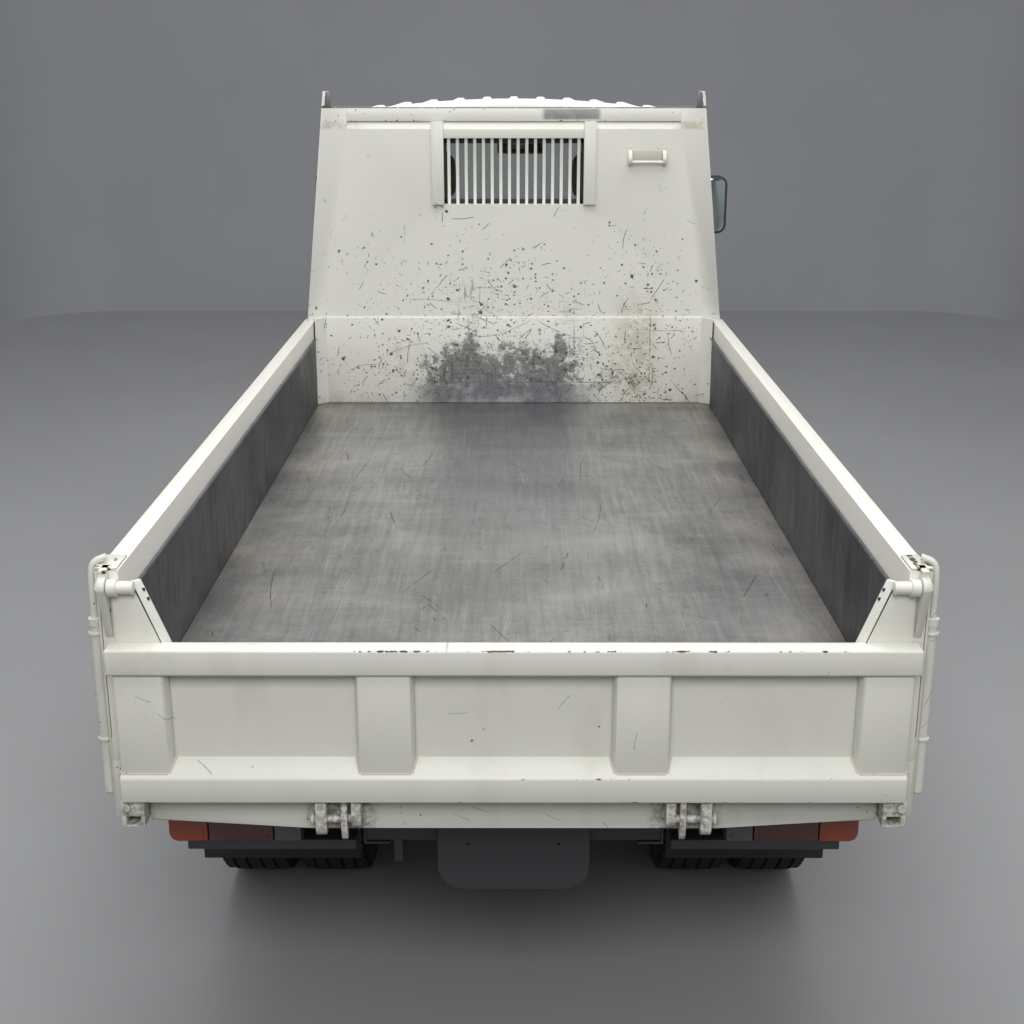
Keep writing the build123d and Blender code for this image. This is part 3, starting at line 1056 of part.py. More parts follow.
# ------------------------------------------------------------------ all sub-parts
def sub_parts():
    """Every sub-part by its node name."""
    cab = Cab()
    nodes = {
        "frame_rails": frame_rails(),
        "frame_crossmembers": frame_crossmembers(),
        "engine_block": engine_block(),
        "propeller_shaft": propeller_shaft(),
        "front_axle": front_axle(),
        "rear_axle": rear_axle(),
        "leaf_springs": leaf_springs(),
        "front_bumper": front_bumper(),
        "fuel_tank": fuel_tank(),
        "battery_box": battery_box(),
        "exhaust": exhaust(),
        "mudflaps": mudflaps(),
        "rear_lamps": rear_lamps(),
        "rear_lamp_bracket": rear_lamp_bracket(),
        "hoist_cylinder": hoist_cylinder(),
        "hoist_rod": hoist_rod(),
        "bed_floor": bed_floor(),
        "bed_liners": bed_liners(),
        "headboard": headboard(),
        "bed_rear_frame": bed_rear_frame(),
        "gate_locks": gate_locks(),
        "tailgate": tailgate(),
        "cab_floor": cab.floor(),
        "cab_front": cab.front(),
        "cab_back": cab.back(),
        "cab_roof": cab.roof(),
        "cab_glass": cab.glass(),
        "headlamps": cab.headlamps(),
        "grille": cab.grille(),
        "mirrors": cab.mirrors(),
        "dashboard": cab.dashboard(),
        "seats": seats(),
        "tie_rod": tie_rod(),
    }
    door, pane = cab.door()
    for side, name in SIDES:
        nodes[f"bed_side_{name}"] = on_side(bed_side(), side)
        nodes[f"cab_side_{name}"] = on_side(cab.side(), side)
        nodes[f"door_{name}"] = on_side(door, side)
        nodes[f"door_glass_{name}"] = on_side(pane, side)
        nodes[f"knuckle_{name}"] = on_side(knuckle(), side)
        nodes[f"tyre_front_{name}"], nodes[f"rim_front_{name}"] = front_wheel(side)
        nodes[f"tyres_rear_{name}"], nodes[f"rims_rear_{name}"] = rear_wheels(side)
    return nodes


def main():
    """Write one STEP file for each sub-part."""
    os.makedirs("parts", exist_ok=True)
    for name, shape in sub_parts().items():
        export_step(shape, f"parts/{name}.step")


main()
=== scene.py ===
"""Looks of a light cab-over dump truck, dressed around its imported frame.

Everything is in metres in the frame's own axes: +Y forward, +Z up, +X to the driver's side.
"""

from __future__ import annotations

import json
import logging
import math
from dataclasses import dataclass, field
from enum import Enum
from typing import Callable, Dict, List, Optional, Sequence, Tuple, Union

import bmesh
import bpy
from mathutils import Matrix, Vector

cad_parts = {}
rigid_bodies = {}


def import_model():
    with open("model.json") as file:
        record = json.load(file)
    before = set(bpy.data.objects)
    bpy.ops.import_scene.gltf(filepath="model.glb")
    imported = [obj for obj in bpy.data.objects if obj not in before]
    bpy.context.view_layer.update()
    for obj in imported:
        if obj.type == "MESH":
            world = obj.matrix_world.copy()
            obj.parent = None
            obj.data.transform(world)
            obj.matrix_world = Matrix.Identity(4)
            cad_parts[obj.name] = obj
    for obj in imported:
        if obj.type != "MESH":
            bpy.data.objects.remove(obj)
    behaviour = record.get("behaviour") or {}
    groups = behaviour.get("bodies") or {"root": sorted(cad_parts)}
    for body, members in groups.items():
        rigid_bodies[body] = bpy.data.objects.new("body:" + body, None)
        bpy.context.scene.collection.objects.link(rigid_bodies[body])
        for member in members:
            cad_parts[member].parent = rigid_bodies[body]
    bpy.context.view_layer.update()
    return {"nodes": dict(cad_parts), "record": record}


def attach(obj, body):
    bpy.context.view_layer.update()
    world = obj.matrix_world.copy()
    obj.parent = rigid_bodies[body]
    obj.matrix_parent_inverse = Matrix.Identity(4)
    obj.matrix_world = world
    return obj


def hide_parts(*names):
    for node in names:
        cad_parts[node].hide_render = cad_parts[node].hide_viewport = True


LOG = logging.getLogger("dump_truck")
Point = Tuple[float, float, float]
Colour = Tuple[float, float, float]
Number = Union[float, "Value"]
SIDES = ((-1, "left"), (1, "right"))
SMOOTH = 35.0  # edges flatter than this many degrees are smooth
TINY = 1e-6  # metres within which points are one


def toned(colour: Colour, factor: float) -> Colour:
    """A colour made lighter or darker, no lighter than white."""
    return tuple(min(1.0, part * factor) for part in colour)


# ------------------------------------------------------------------ shader maths
class Value:
    """A socket that takes part in arithmetic; each operation adds one Math node."""

    def __init__(self, shader: "Shader", socket: bpy.types.NodeSocket) -> None:
        """Wrap one output socket of a shader."""
        self.shader = shader
        self.socket = socket

    def math(self, operation: str, *values: Number) -> "Value":
        """Result of a Math node.

        Args:
            operation: the node's operation.
            values: its inputs in order.

        Returns:
            The node's output.
        """
        return self.shader.node("ShaderNodeMath", {"operation": operation}, dict(enumerate(values)))

    def also(self, output: Union[int, str]) -> "Value":
        """Another output of the same node."""
        return Value(self.shader, self.socket.node.outputs[output])

    def __add__(self, other: Number) -> "Value":
        """Sum."""
        return self.math("ADD", self, other)

    __radd__ = __add__

    def __sub__(self, other: Number) -> "Value":
        """Difference."""
        return self.math("SUBTRACT", self, other)

    def __rsub__(self, other: Number) -> "Value":
        """Difference with this value taken away."""
        return self.math("SUBTRACT", other, self)

    def __mul__(self, other: Number) -> "Value":
        """Product."""
        return self.math("MULTIPLY", self, other)

    __rmul__ = __mul__

    def __truediv__(self, other: Number) -> "Value":
        """Quotient."""
        return self.math("DIVIDE", self, other)

    def __abs__(self) -> "Value":
        """Size without its sign."""
        return self.math("ABSOLUTE", self)

    def least(self, other: Number) -> "Value":
        """The smaller of two values."""
        return self.math("MINIMUM", self, other)

    def most(self, other: Number) -> "Value":
        """The larger of two values."""
        return self.math("MAXIMUM", self, other)

    def rise(self, low: float, high: float) -> "Value":
        """Smooth step from 0 at low to 1 at high; it falls when high is the smaller.

        Args:
            low: where the result is 0.
            high: where the result is 1.

        Returns:
            The step.
        """
        ends = (low, high, 0.0, 1.0) if low < high else (high, low, 1.0, 0.0)
        inputs = dict(enumerate((self, *ends)))
        return self.shader.node("ShaderNodeMapRange", {"interpolation_type": "SMOOTHSTEP"}, inputs)

    def within(self, low: float, high: float, soft: float) -> "Value":
        """1 between low and high, with soft ends that reach soft to both sides."""
        return self.rise(low - soft, low + soft) * self.rise(high + soft, high - soft)


class Shader:
    """One material and the nodes that feed its Principled shader."""

    def __init__(self, name: str) -> None:
        """Start a material with an empty tree apart from its shader and output."""
        self.material = bpy.data.materials.new(name)
        self.material.use_nodes = True
        self.tree = self.material.node_tree
        self.tree.nodes.clear()
        self.surface = self.tree.nodes.new("ShaderNodeBsdfPrincipled")
        output = self.tree.nodes.new("ShaderNodeOutputMaterial")
        self.tree.links.new(self.surface.outputs[0], output.inputs["Surface"])
        self.here: Optional[Value] = None

    def node(self, kind: str, settings: Optional[dict] = None, inputs: Optional[dict] = None,
             output: Union[int, str] = 0) -> Value:
        """Add any node.

        Args:
            kind: the node's type.
            settings: properties that are set first; stops holds a ramp's stops.
            inputs: values or links of its sockets, by index or name.
            output: the output socket to return.

        Returns:
            The chosen output.
        """
        made = self.tree.nodes.new(kind)
        for key, value in (settings or {}).items():
            if key == "stops":
                ramp = made.color_ramp
                while len(ramp.elements) < len(value):
                    ramp.elements.new(0.5)
                for element, (place, colour) in zip(ramp.elements, value):
                    element.position, element.color = place, (*colour, 1.0)
            else:
                setattr(made, key, value)
        for key, value in (inputs or {}).items():
            self.feed(made.inputs[key], value)
        return Value(self, made.outputs[output])

    def feed(self, socket: bpy.types.NodeSocket, value: object) -> None:
        """Set a socket to a number or colour, or link it to a value."""
        if isinstance(value, Value):
            self.tree.links.new(value.socket, socket)
        elif isinstance(value, tuple) and len(value) == 3 and socket.type == "RGBA":
            socket.default_value = (*value, 1.0)
        else:
            socket.default_value = value

    def at(self) -> Value:
        """Object coordinates."""
        if self.here is None:
            self.here = self.node("ShaderNodeTexCoord", output="Object")
        return self.here

    def placed(self, scale: Point) -> Value:
        """Object coordinates, scaled."""
        return self.node("ShaderNodeMapping", {}, {"Vector": self.at(), "Scale": scale})

    def axes(self) -> Tuple[Value, Value, Value]:
        """The three object coordinates apart."""
        first = self.node("ShaderNodeSeparateXYZ", {}, {0: self.at()})
        return first, first.also(1), first.also(2)

    def noise(self, scale: float, detail: float = 3.0, rough: float = 0.5, bend: float = 0.0,
              where: Optional[Value] = None) -> Value:
        """Cloudy noise from 0 to 1."""
        inputs = {"Vector": where or self.at(), "Scale": scale, "Detail": detail, "Roughness": rough,
                  "Distortion": bend}
        return self.node("ShaderNodeTexNoise", {}, inputs)

    def cells(self, scale: float, output: str = "Distance") -> Value:
        """Voronoi cells."""
        return self.node("ShaderNodeTexVoronoi", {}, {"Vector": self.at(), "Scale": scale}, output)

    def waves(self, direction: str, scale: float) -> Value:
        """Even ripples that follow one another along an axis."""
        inputs = {"Vector": self.at(), "Scale": scale}
        return self.node("ShaderNodeTexWave", {"bands_direction": direction}, inputs, "Fac")

    def mix(self, share: Number, low: object, high: object) -> Value:
        """Colour between two colours."""
        return self.node("ShaderNodeMix", {"data_type": "RGBA"}, {0: share, 6: low, 7: high}, 2)

    def lines(self, scale: float, width: float, where: Optional[Value] = None, bend: float = 0.4) -> Value:
        """Thin wandering lines, 1 on each line.

        Args:
            scale: how many lines to a metre, roughly.
            width: line width as a share of the noise's range.
            where: coordinates, stretched for straight scratches.
            bend: how much the lines wander.

        Returns:
            The mask of the lines.
        """
        return abs(self.noise(scale, 2.0, 0.5, bend, where) - 0.5).rise(width, width * 0.25)

    def specks(self, scale: float, share: Number, size: float) -> Value:
        """Irregular specks that cover more of the surface where share is higher.

        Args:
            scale: specks to a metre.
            share: from 0 for none to 1 for all.
            size: radius of a speck as a share of its cell.

        Returns:
            The mask of the specks.
        """
        wobble = self.noise(scale * 2.2, 3.0, 0.6)
        chance = self.node("ShaderNodeSeparateColor", {}, {0: self.cells(scale, "Color")})
        drawn = (chance * -1.0 + share).rise(0.0, 0.04)
        return (self.cells(scale) + wobble * 0.5).rise(size + 0.29, size + 0.21) * drawn

    def strokes(self, scale: float, share: Number, length: float, width: float,
                plane: Tuple[int, int] = (0, 2),
                bend: float = 0.0, turn: Tuple[float, float] = (0.0, 360.0)) -> Value:
        """Short scratches, one to a cell, each turned its own way.

        Args:
            scale: cells to a metre.
            share: how many cells hold a scratch, from 0 to 1.
            length: half length of a scratch, in metres.
            width: half width.
            plane: the two axes that the surface lies along.
            bend: how much a scratch curves.
            turn: the range of its direction, in degrees.

        Returns:
            The mask of the scratches.
        """
        axes = self.axes()
        flat = self.node("ShaderNodeCombineXYZ", {}, {0: axes[plane[0]], 1: axes[plane[1]]})
        middle = self.node("ShaderNodeTexVoronoi", {"voronoi_dimensions": "2D"},
                           {"Vector": flat, "Scale": scale},
                           "Position")
        red = self.node("ShaderNodeSeparateColor", {}, {0: middle.also("Color")})
        green, blue = red.also(1), red.also(2)
        away = self.node("ShaderNodeVectorMath", {"operation": "SUBTRACT"}, {0: flat, 1: middle})
        angle = red * math.radians(turn[1] - turn[0]) + math.radians(turn[0])
        turned = self.node("ShaderNodeVectorRotate", {"rotation_type": "Z_AXIS"},
                           {"Vector": away, "Angle": angle})
        along = self.node("ShaderNodeSeparateXYZ", {}, {0: turned})
        across = along.also(1)
        across = across + along * along * (green - 0.5) * bend if bend else across
        ragged = self.noise(140.0, 2.0, 0.6) * width * 1.2 - width * 0.6
        line = (abs(across) + ragged).rise(width, width * 0.35) * abs(along).rise(length, length * 0.75)
        return line * (blue * -1.0 + share).rise(0.0, 0.03)

    def bump(self, height: Number, distance: float) -> Value:
        """Normal from a height."""
        return self.node("ShaderNodeBump", {}, {"Height": height, "Distance": distance}, "Normal")

    def done(self, **sockets: object) -> bpy.types.Material:
        """Feed the Principled shader's sockets, with _ for each space, and return the material."""
        for name, value in sockets.items():
            self.feed(self.surface.inputs[name.replace("_", " ")], value)
        return self.material


# ------------------------------------------------------------------ finishes
@dataclass(frozen=True)
class Coat:
    """Plain paint, plastic or metal with a fine grain and a little dirt."""

    name: str
    colour: Colour
    rough: float = 0.5
    metal: float = 0.0
    grain: float = 260.0
    depth: float = 0.0002
    dirt: float = 0.25
    dirt_colour: Colour = (0.16, 0.14, 0.12)
    clear: float = 0.0

    def material(self) -> bpy.types.Material:
        """Build the material."""
        s = Shader(self.name)
        _, _, height = s.axes()
        patches = s.noise(5.0, 5.0, 0.6)
        low = height.rise(1.1, 0.3) * 0.5 + 0.5
        soiled = patches.rise(0.42, 0.75) * low * self.dirt
        shade = s.mix(patches, toned(self.colour, 0.94), toned(self.colour, 1.05))
        fine = s.noise(self.grain, 3.0, 0.6)
        return s.done(Base_Color=s.mix(soiled, shade, self.dirt_colour), Metallic=self.metal,
                      Roughness=soiled * 0.5 + (fine - 0.5) * 0.12 + self.rough,
                      Coat_Weight=self.clear, Normal=s.bump(fine, self.depth))


@dataclass(frozen=True)
class Line:
    """An edge along which the paint has chipped: two coordinates are fixed."""

    first: int
    at_first: float
    second: int
    at_second: float
    reach: float
    strength: float


@dataclass(frozen=True)
class WornPaint:
    """White paint on steel with chips, edge wear and light soiling."""

    name: str
    colour: Colour = (0.735, 0.73, 0.665)
    edges: Tuple[Line, ...] = ()
    chips: float = 0.06
    stain: float = 0.25
    busy: Tuple[float, float] = (-9.0, 9.0)
    cracks: float = 0.0
    grime: Tuple[Tuple[float, float], ...] = ()
    plane: Tuple[int, int] = (0, 2)

    def wear(self, s: Shader) -> Value:
        """How far the paint is worn at the edges, from 0 to about 1."""
        axes = s.axes()
        worn: Optional[Value] = None
        for edge in self.edges:
            near: Optional[Value] = None
            for axis, place in ((edge.first, edge.at_first), (edge.second, edge.at_second)):
                gap = abs(abs(axes[0]) - abs(place)) if axis == 0 else abs(axes[axis] - place)
                near = gap if near is None else near.most(gap)
            near = near.rise(edge.reach, edge.reach * 0.3) * edge.strength
            worn = near if worn is None else worn.most(near)
        if worn is None:
            return s.noise(1.0) * 0.0
        return worn * (axes[0].within(*self.busy, 0.12) * 0.22 + 0.78)

    def material(self) -> bpy.types.Material:
        """Build the material."""
        s = Shader(self.name)
        x, _, z = s.axes()
        clouds = s.noise(2.2, 5.0, 0.6)
        streaks = s.noise(9.0, 4.0, 0.6, where=s.placed((1.0, 1.0, 0.25)))
        base = s.mix(clouds, toned(self.colour, 0.94), toned(self.colour, 1.04))
        soil = streaks.rise(0.5, 0.8) * self.stain
        base = s.mix(soil, base, (0.42, 0.40, 0.34))
        ragged = s.noise(75.0, 5.0, 0.7)
        broad = s.noise(7.0, 3.0, 0.6)
        worn = self.wear(s)
        edge_chips = (ragged * 0.55 + broad * 0.45 + worn * 0.3).rise(0.868, 0.885)
        small = s.specks(34.0, broad.rise(0.4, 0.8) * self.chips, 0.14)
        tiny = s.specks(95.0, broad.rise(0.4, 0.8) * self.chips * 1.4, 0.18)
        nicks = s.strokes(13.0, self.chips * 1.2, 0.022, 0.0011, self.plane, 9.0)
        chips = edge_chips.most(small).most(tiny)
        if self.cracks:
            fine = s.lines(26.0, 0.012, s.placed((0.02, 1.0, 0.10)), 0.15) * s.noise(9.0).rise(0.45, 0.55)
            nicks = nicks.most(fine * self.cracks * abs(x).rise(0.812, 0.806))
        for place, reach in self.grime:
            dirty = abs(abs(x) - place).rise(reach, reach * 0.3) * z.rise(0.83, 0.78) * ragged.rise(0.38, 0.62)
            base = s.mix(dirty * 0.75, base, (0.13, 0.11, 0.085))
        steel = s.mix(s.noise(40.0, 3.0, 0.6).rise(0.4, 0.65), (0.05, 0.046, 0.042), (0.15, 0.085, 0.05))
        base = s.mix((nicks * 0.7).least(0.7), base, (0.2, 0.19, 0.17))
        height = s.noise(150.0, 2.0, 0.5) * 0.10 - chips - nicks * 0.4
        return s.done(Base_Color=s.mix(chips, base, steel), Roughness=chips * 0.3 + soil * 0.3 + clouds * 0.1 + 0.3,
                      Normal=s.bump(height, 0.0006))


@dataclass(frozen=True)
class BoardPaint:
    """The headboard's white paint: scratched, chipped and rubbed grey where loads have slid against it."""

    name: str
    floor: float = 0.95
    colour: Colour = (0.725, 0.72, 0.655)

    def rubs(self, s: Shader, x: Value, up: Value) -> Tuple[Value, Value, Value]:
        """Where the board is rubbed: dark clouds, the smooth band at its foot, and the hatched columns."""
        ragged, coarse = s.noise(34.0, 6.0, 0.75, 0.3), s.noise(9.0, 4.0, 0.65)
        left = x.within(-0.205, -0.135, 0.05) * up.within(0.03, 0.40, 0.16)
        right = x.within(0.140, 0.225, 0.05) * up.within(0.03, 0.31, 0.14)
        cloud = x.within(-0.36, 0.27, 0.13) * up.within(0.0, 0.23, 0.11)
        east = x.within(0.20, 0.55, 0.08) * up.within(0.04, 0.13, 0.06) * 0.62
        shape = cloud.most(left * 0.9).most(right * 0.95).most(east)
        dark = (shape * 1.05 + (ragged - 0.5) * 2.6 + (coarse - 0.5) * 1.7).rise(0.40, 0.92)
        band = x.within(-0.38, 0.31, 0.09) * up.rise(0.084, 0.070) * (coarse.rise(0.3, 0.55) * 0.35 + 0.65)
        reach = (x.within(-0.25, -0.10, 0.06) * up.within(0.02, 0.52, 0.14)).most(
            x.within(0.10, 0.27, 0.06) * up.within(0.02, 0.42, 0.14)).most(cloud)
        down = s.noise(75.0, 3.0, 0.7, where=s.placed((1.0, 1.0, 0.10))).rise(0.53, 0.66)
        over = s.noise(75.0, 3.0, 0.7, where=s.placed((0.08, 1.0, 1.0))).rise(0.55, 0.68)
        columns = reach * down.most(over) * coarse.rise(0.35, 0.6)
        return dark, band, columns

    def material(self) -> bpy.types.Material:
        """Build the material."""
        s = Shader(self.name)
        x, y, z = s.axes()
        up = z - self.floor
        clouds = s.noise(2.5, 5.0, 0.6)
        base = s.mix(clouds, toned(self.colour, 0.94), toned(self.colour, 1.03))
        # where loads reach: dense low down and in the middle, thin above
        low = up.rise(0.88, 0.24)
        middle = abs(x - 0.02).rise(0.78, 0.42)
        rear = y.rise(0.7405, 0.7370)
        patchy = s.noise(4.6, 4.0, 0.65).rise(0.40, 0.62) * 0.85 + 0.35
        busy = (rear * low * (middle * 0.75 + 0.25) * patchy).least(1.0)
        dark, band, columns = (mask * rear for mask in self.rubs(s, x, up))
        # specks and scratches
        specks = s.specks(120.0, busy * 0.42, 0.24).most(s.specks(58.0, busy * 0.54, 0.23)).most(
            s.specks(30.0, busy * 0.52 + 0.02, 0.19)).most(s.specks(14.0, busy * 0.22 + 0.012, 0.10))
        marks = s.strokes(34.0, busy * 0.40, 0.009, 0.0016).most(
            s.strokes(15.0, busy * 0.60, 0.022, 0.0018, bend=14.0)).most(
            s.strokes(7.5, busy * 0.72, 0.050, 0.0017, bend=8.0)).most(
            s.strokes(4.2, busy * 0.7, 0.090, 0.0014, bend=3.0, turn=(-25.0, 25.0)) * 0.8)
        marks = marks.most(columns * 0.8)
        # yellow stain with a rusty run, a grey rub on the top rail, chipped top edge
        mottled = s.noise(24.0, 5.0, 0.7)
        warm = x.within(0.42, 0.57, 0.06) * up.within(0.0, 0.42, 0.10) * mottled.rise(0.32, 0.58)
        faint = x.within(-0.50, -0.40, 0.07) * up.within(0.03, 0.30, 0.10) * mottled.rise(0.42, 0.62) * 0.6
        warm = (warm * rear).most(faint)
        warm = warm.most(up.rise(0.06, 0.0) * mottled.rise(0.3, 0.6) * abs(x).rise(0.3, 0.6) * 0.8)
        run = abs(x - 0.556 + s.noise(20.0) * 0.006).rise(0.004, 0.0015)
        run = run * up.within(0.10, 0.34, 0.04) * mottled.rise(0.38, 0.55)
        rusty = s.specks(80.0, x.within(0.36, 0.60, 0.06) * up.rise(0.46, 0.1) * 0.62, 0.24).most(run * 0.8)
        rail = up.within(1.126, 1.165, 0.004) * x.within(0.115, 0.335, 0.012) * (mottled.rise(0.2, 0.5) * 0.4 + 0.6)
        rail = rail.most(s.specks(60.0, up.rise(1.11, 1.13) * 0.22, 0.2))
        ragged = s.noise(60.0, 5.0, 0.7)
        top = abs(up - 1.172).rise(0.006, 0.003) * y.rise(0.765, 0.755) * ragged.rise(0.32, 0.42)
        lip = abs(up - 1.121).rise(0.006, 0.001) * (ragged * 0.6 + s.noise(6.0) * 0.4).rise(0.56, 0.58)
        # A line lighter than the paint along the seam: painted highlight on the seam's lit edge.
        seam = abs(up - 0.356).rise(0.006, 0.002) * 0.4
        line = abs(up - 0.090 + s.noise(4.0) * 0.006).rise(0.004, 0.0012) * x.within(-0.33, 0.42, 0.05)
        joint = up.rise(0.006, 0.001) * 0.8
        grey = s.mix(ragged, (0.085, 0.085, 0.088), (0.25, 0.25, 0.25))
        ends = abs(x).rise(0.56, 0.66) * up.within(1.09, 1.118, 0.006) * mottled.rise(0.35, 0.6)
        base = s.mix((warm * 0.5).most(ends * 0.5), base, (0.37, 0.31, 0.20))
        base = s.mix(dark * 0.9, base, grey)
        base = s.mix(band * 0.9, base, s.mix(mottled, (0.19, 0.195, 0.21), (0.31, 0.315, 0.33)))
        base = s.mix((rail * 0.85).most(line * 0.6), base, (0.17, 0.17, 0.17))
        worn = specks.most(marks)
        base = s.mix(worn * (1.0 - band * 0.7), base, s.mix(s.noise(50.0), (0.05, 0.05, 0.05), (0.15, 0.14, 0.12)))
        base = s.mix(rusty, base, (0.15, 0.085, 0.045))
        base = s.mix(top.most(lip).most(joint), base, (0.06, 0.055, 0.05))
        # Painted highlight along the seam.
        base = s.mix(seam, base, (0.9, 0.9, 0.86))
        gone = worn.most(top).most(rusty)
        return s.done(Base_Color=base, Metallic=band * 0.5 + dark * 0.2,
                      Roughness=0.42 - band * 0.1 + gone * 0.2,
                      Normal=s.bump(s.noise(140.0, 2.0) * 0.1 - gone, 0.0006))


@dataclass(frozen=True)
class WornSteel:
    """Bare steel plate, polished by loads, with scratches both ways and stains by the walls."""

    name: str
    dark: Colour
    light: Colour
    warm: float = 0.3
    rough: float = 0.36
    along: int = 1
    marks: float = 1.0

    def material(self) -> bpy.types.Material:
        """Build the material."""
        s = Shader(self.name)
        x, y, _ = s.axes()
        long_way = (6.0, 0.35, 6.0) if self.along == 1 else (6.0, 6.0, 0.35)
        brushed = s.noise(9.0, 6.0, 0.7, where=s.placed(long_way))
        crossed = s.noise(12.0, 6.0, 0.7, where=s.placed((0.25, 4.0, 4.0)))
        smeared = s.noise(2.6, 5.0, 0.62, 0.8, where=s.placed((0.55, 2.2, 2.2)))
        clouds = s.noise(1.7, 6.0, 0.62, 0.5)
        fine = s.noise(55.0, 4.0, 0.7)
        tone = (clouds * 0.42 + smeared * 0.22 + brushed * 0.32 + crossed * 0.08 + fine * 0.12).rise(0.40, 0.76)
        base = s.mix(tone, self.dark, self.light)
        if self.along == 1:
            cool = abs(x + 0.02).rise(0.34, 0.16) * y.rise(-1.6, -0.3) * 0.5
            base = s.mix(cool, base, tuple(c * k for c, k in zip(self.dark, (0.86, 0.92, 1.08))))
        tan = abs(x).rise(0.5, 0.8) * s.noise(3.0, 5.0, 0.65).rise(0.40, 0.68) * self.warm
        base = s.mix(tan, base, tuple(c * k for c, k in zip(self.light, (0.86, 0.70, 0.52))))
        plane = (0, 1) if self.along == 1 else (1, 2)
        bright = s.strokes(7.0, 0.55 * self.marks, 0.065, 0.0014, plane, 1.0, (80.0, 100.0)).most(
            s.strokes(16.0, 0.35 * self.marks, 0.028, 0.001, plane, 4.0)).most(
            s.strokes(3.2, 0.6 * self.marks, 0.15, 0.0016, plane, 0.4, (84.0, 96.0)))
        gouge = s.strokes(4.5, 0.30 * self.marks, 0.10, 0.0017, plane, 1.0, (60.0, 120.0)).most(
            s.strokes(6.0, 0.18 * self.marks, 0.07, 0.0013, plane, 2.0, (20.0, 80.0))).most(
            s.strokes(2.6, 0.35 * self.marks, 0.17, 0.0012, plane, 1.0, (70.0, 110.0))).most(
            s.strokes(14.0, 0.22 * self.marks, 0.02, 0.0014, plane,
                      12.0)) * s.noise(26.0, 3.0).rise(0.40, 0.52)
        specks = s.specks(24.0, self.marks * 0.05, 0.10)
        dirt = s.noise(38.0, 5.0, 0.75).rise(0.60, 0.70) * s.noise(4.0).rise(0.45, 0.6) * 0.5
        base = s.mix(bright * 0.20 * self.marks, base, toned(self.light, 1.9))
        base = s.mix((gouge * 0.75).most(specks * 0.8).most(dirt * self.marks), base, (0.045, 0.042, 0.04))
        rough = (1.0 - tone) * 0.12 + s.noise(3.1, 5.0, 0.65).rise(0.3, 0.75) * 0.14 + fine * 0.08 + self.rough - 0.1
        waves = s.noise(2.2, 2.0, 0.4) * 7.0 + brushed * 0.3 + crossed * 0.3 + bright * 0.1 - gouge * 0.9
        return s.done(Base_Color=base, Metallic=0.85 - tan * 0.5, Roughness=rough,
                      Normal=s.bump(waves, 0.0009))


@dataclass(frozen=True)
class Tint:
    """Clear or tinted pane, or a lens; a glow stands for daylight that comes in through the windscreen."""

    name: str
    colour: Colour
    alpha: float = 0.3
    rough: float = 0.04
    glow: Colour = (0.0, 0.0, 0.0)

    def material(self) -> bpy.types.Material:
        """Build the material."""
        s = Shader(self.name)
        film = s.noise(3.0, 4.0, 0.6).rise(0.3, 0.8)
        normal = s.node("ShaderNodeNewGeometry", output="Normal")
        facing = s.node("ShaderNodeSeparateXYZ", {}, {0: normal}, "Y")
        forward = s.node("ShaderNodeSeparateXYZ", {}, {0: normal.also("Position")}, "Y")
        inward = facing.rise(-0.4, -0.8) * (1.0 - normal.also("Backfacing"))
        inward = inward * forward.rise(1.5, 1.6) * (film * 0.1 + 0.9)
        return s.done(Base_Color=s.mix(film, self.colour, toned(self.colour, 0.9)), Alpha=self.alpha,
                      Roughness=film * 0.05 + self.rough, Emission_Color=s.mix(inward, (0.0, 0.0, 0.0), self.glow),
                      Emission_Strength=1.0)


@dataclass(frozen=True)
class TailLens:
    """Rear lamp lens: amber outside, dark red in the middle and clear inside, with fine flutes."""

    name: str
    amber: float = 0.699
    red: float = 0.549

    def material(self) -> bpy.types.Material:
        """Build the material."""
        s = Shader(self.name)
        side = abs(s.axes()[0])
        colour = s.mix(side.rise(self.red - 0.001, self.red + 0.001), (0.085, 0.082, 0.08),
                       (0.085, 0.006, 0.006))
        colour = s.mix(side.rise(self.amber - 0.001, self.amber + 0.001), colour, (0.33, 0.045, 0.006))
        flutes, blocks = s.waves("Z", 60.0), s.waves("X", 40.0)
        dusty = s.noise(14.0, 4.0).rise(0.5, 0.8) * 0.12
        return s.done(Base_Color=s.mix(dusty, colour, (0.2, 0.18, 0.15)), Roughness=dusty + 0.12,
                      Coat_Weight=0.5,
                      Normal=s.bump(flutes * 0.7 + blocks * 0.3, 0.0006))


@dataclass(frozen=True)
class Cloth:
    """Woven seat cloth."""

    name: str
    colour: Colour

    def material(self) -> bpy.types.Material:
        """Build the material."""
        s = Shader(self.name)
        weave = s.waves("X", 160.0) * 0.5 + s.waves("Z", 160.0) * 0.5
        tone = (weave * 0.5 + s.noise(9.0, 4.0) * 0.5).rise(0.2, 0.9)
        return s.done(Base_Color=s.mix(tone, toned(self.colour, 0.6), self.colour), Roughness=0.9,
                      Normal=s.bump(weave, 0.0008))


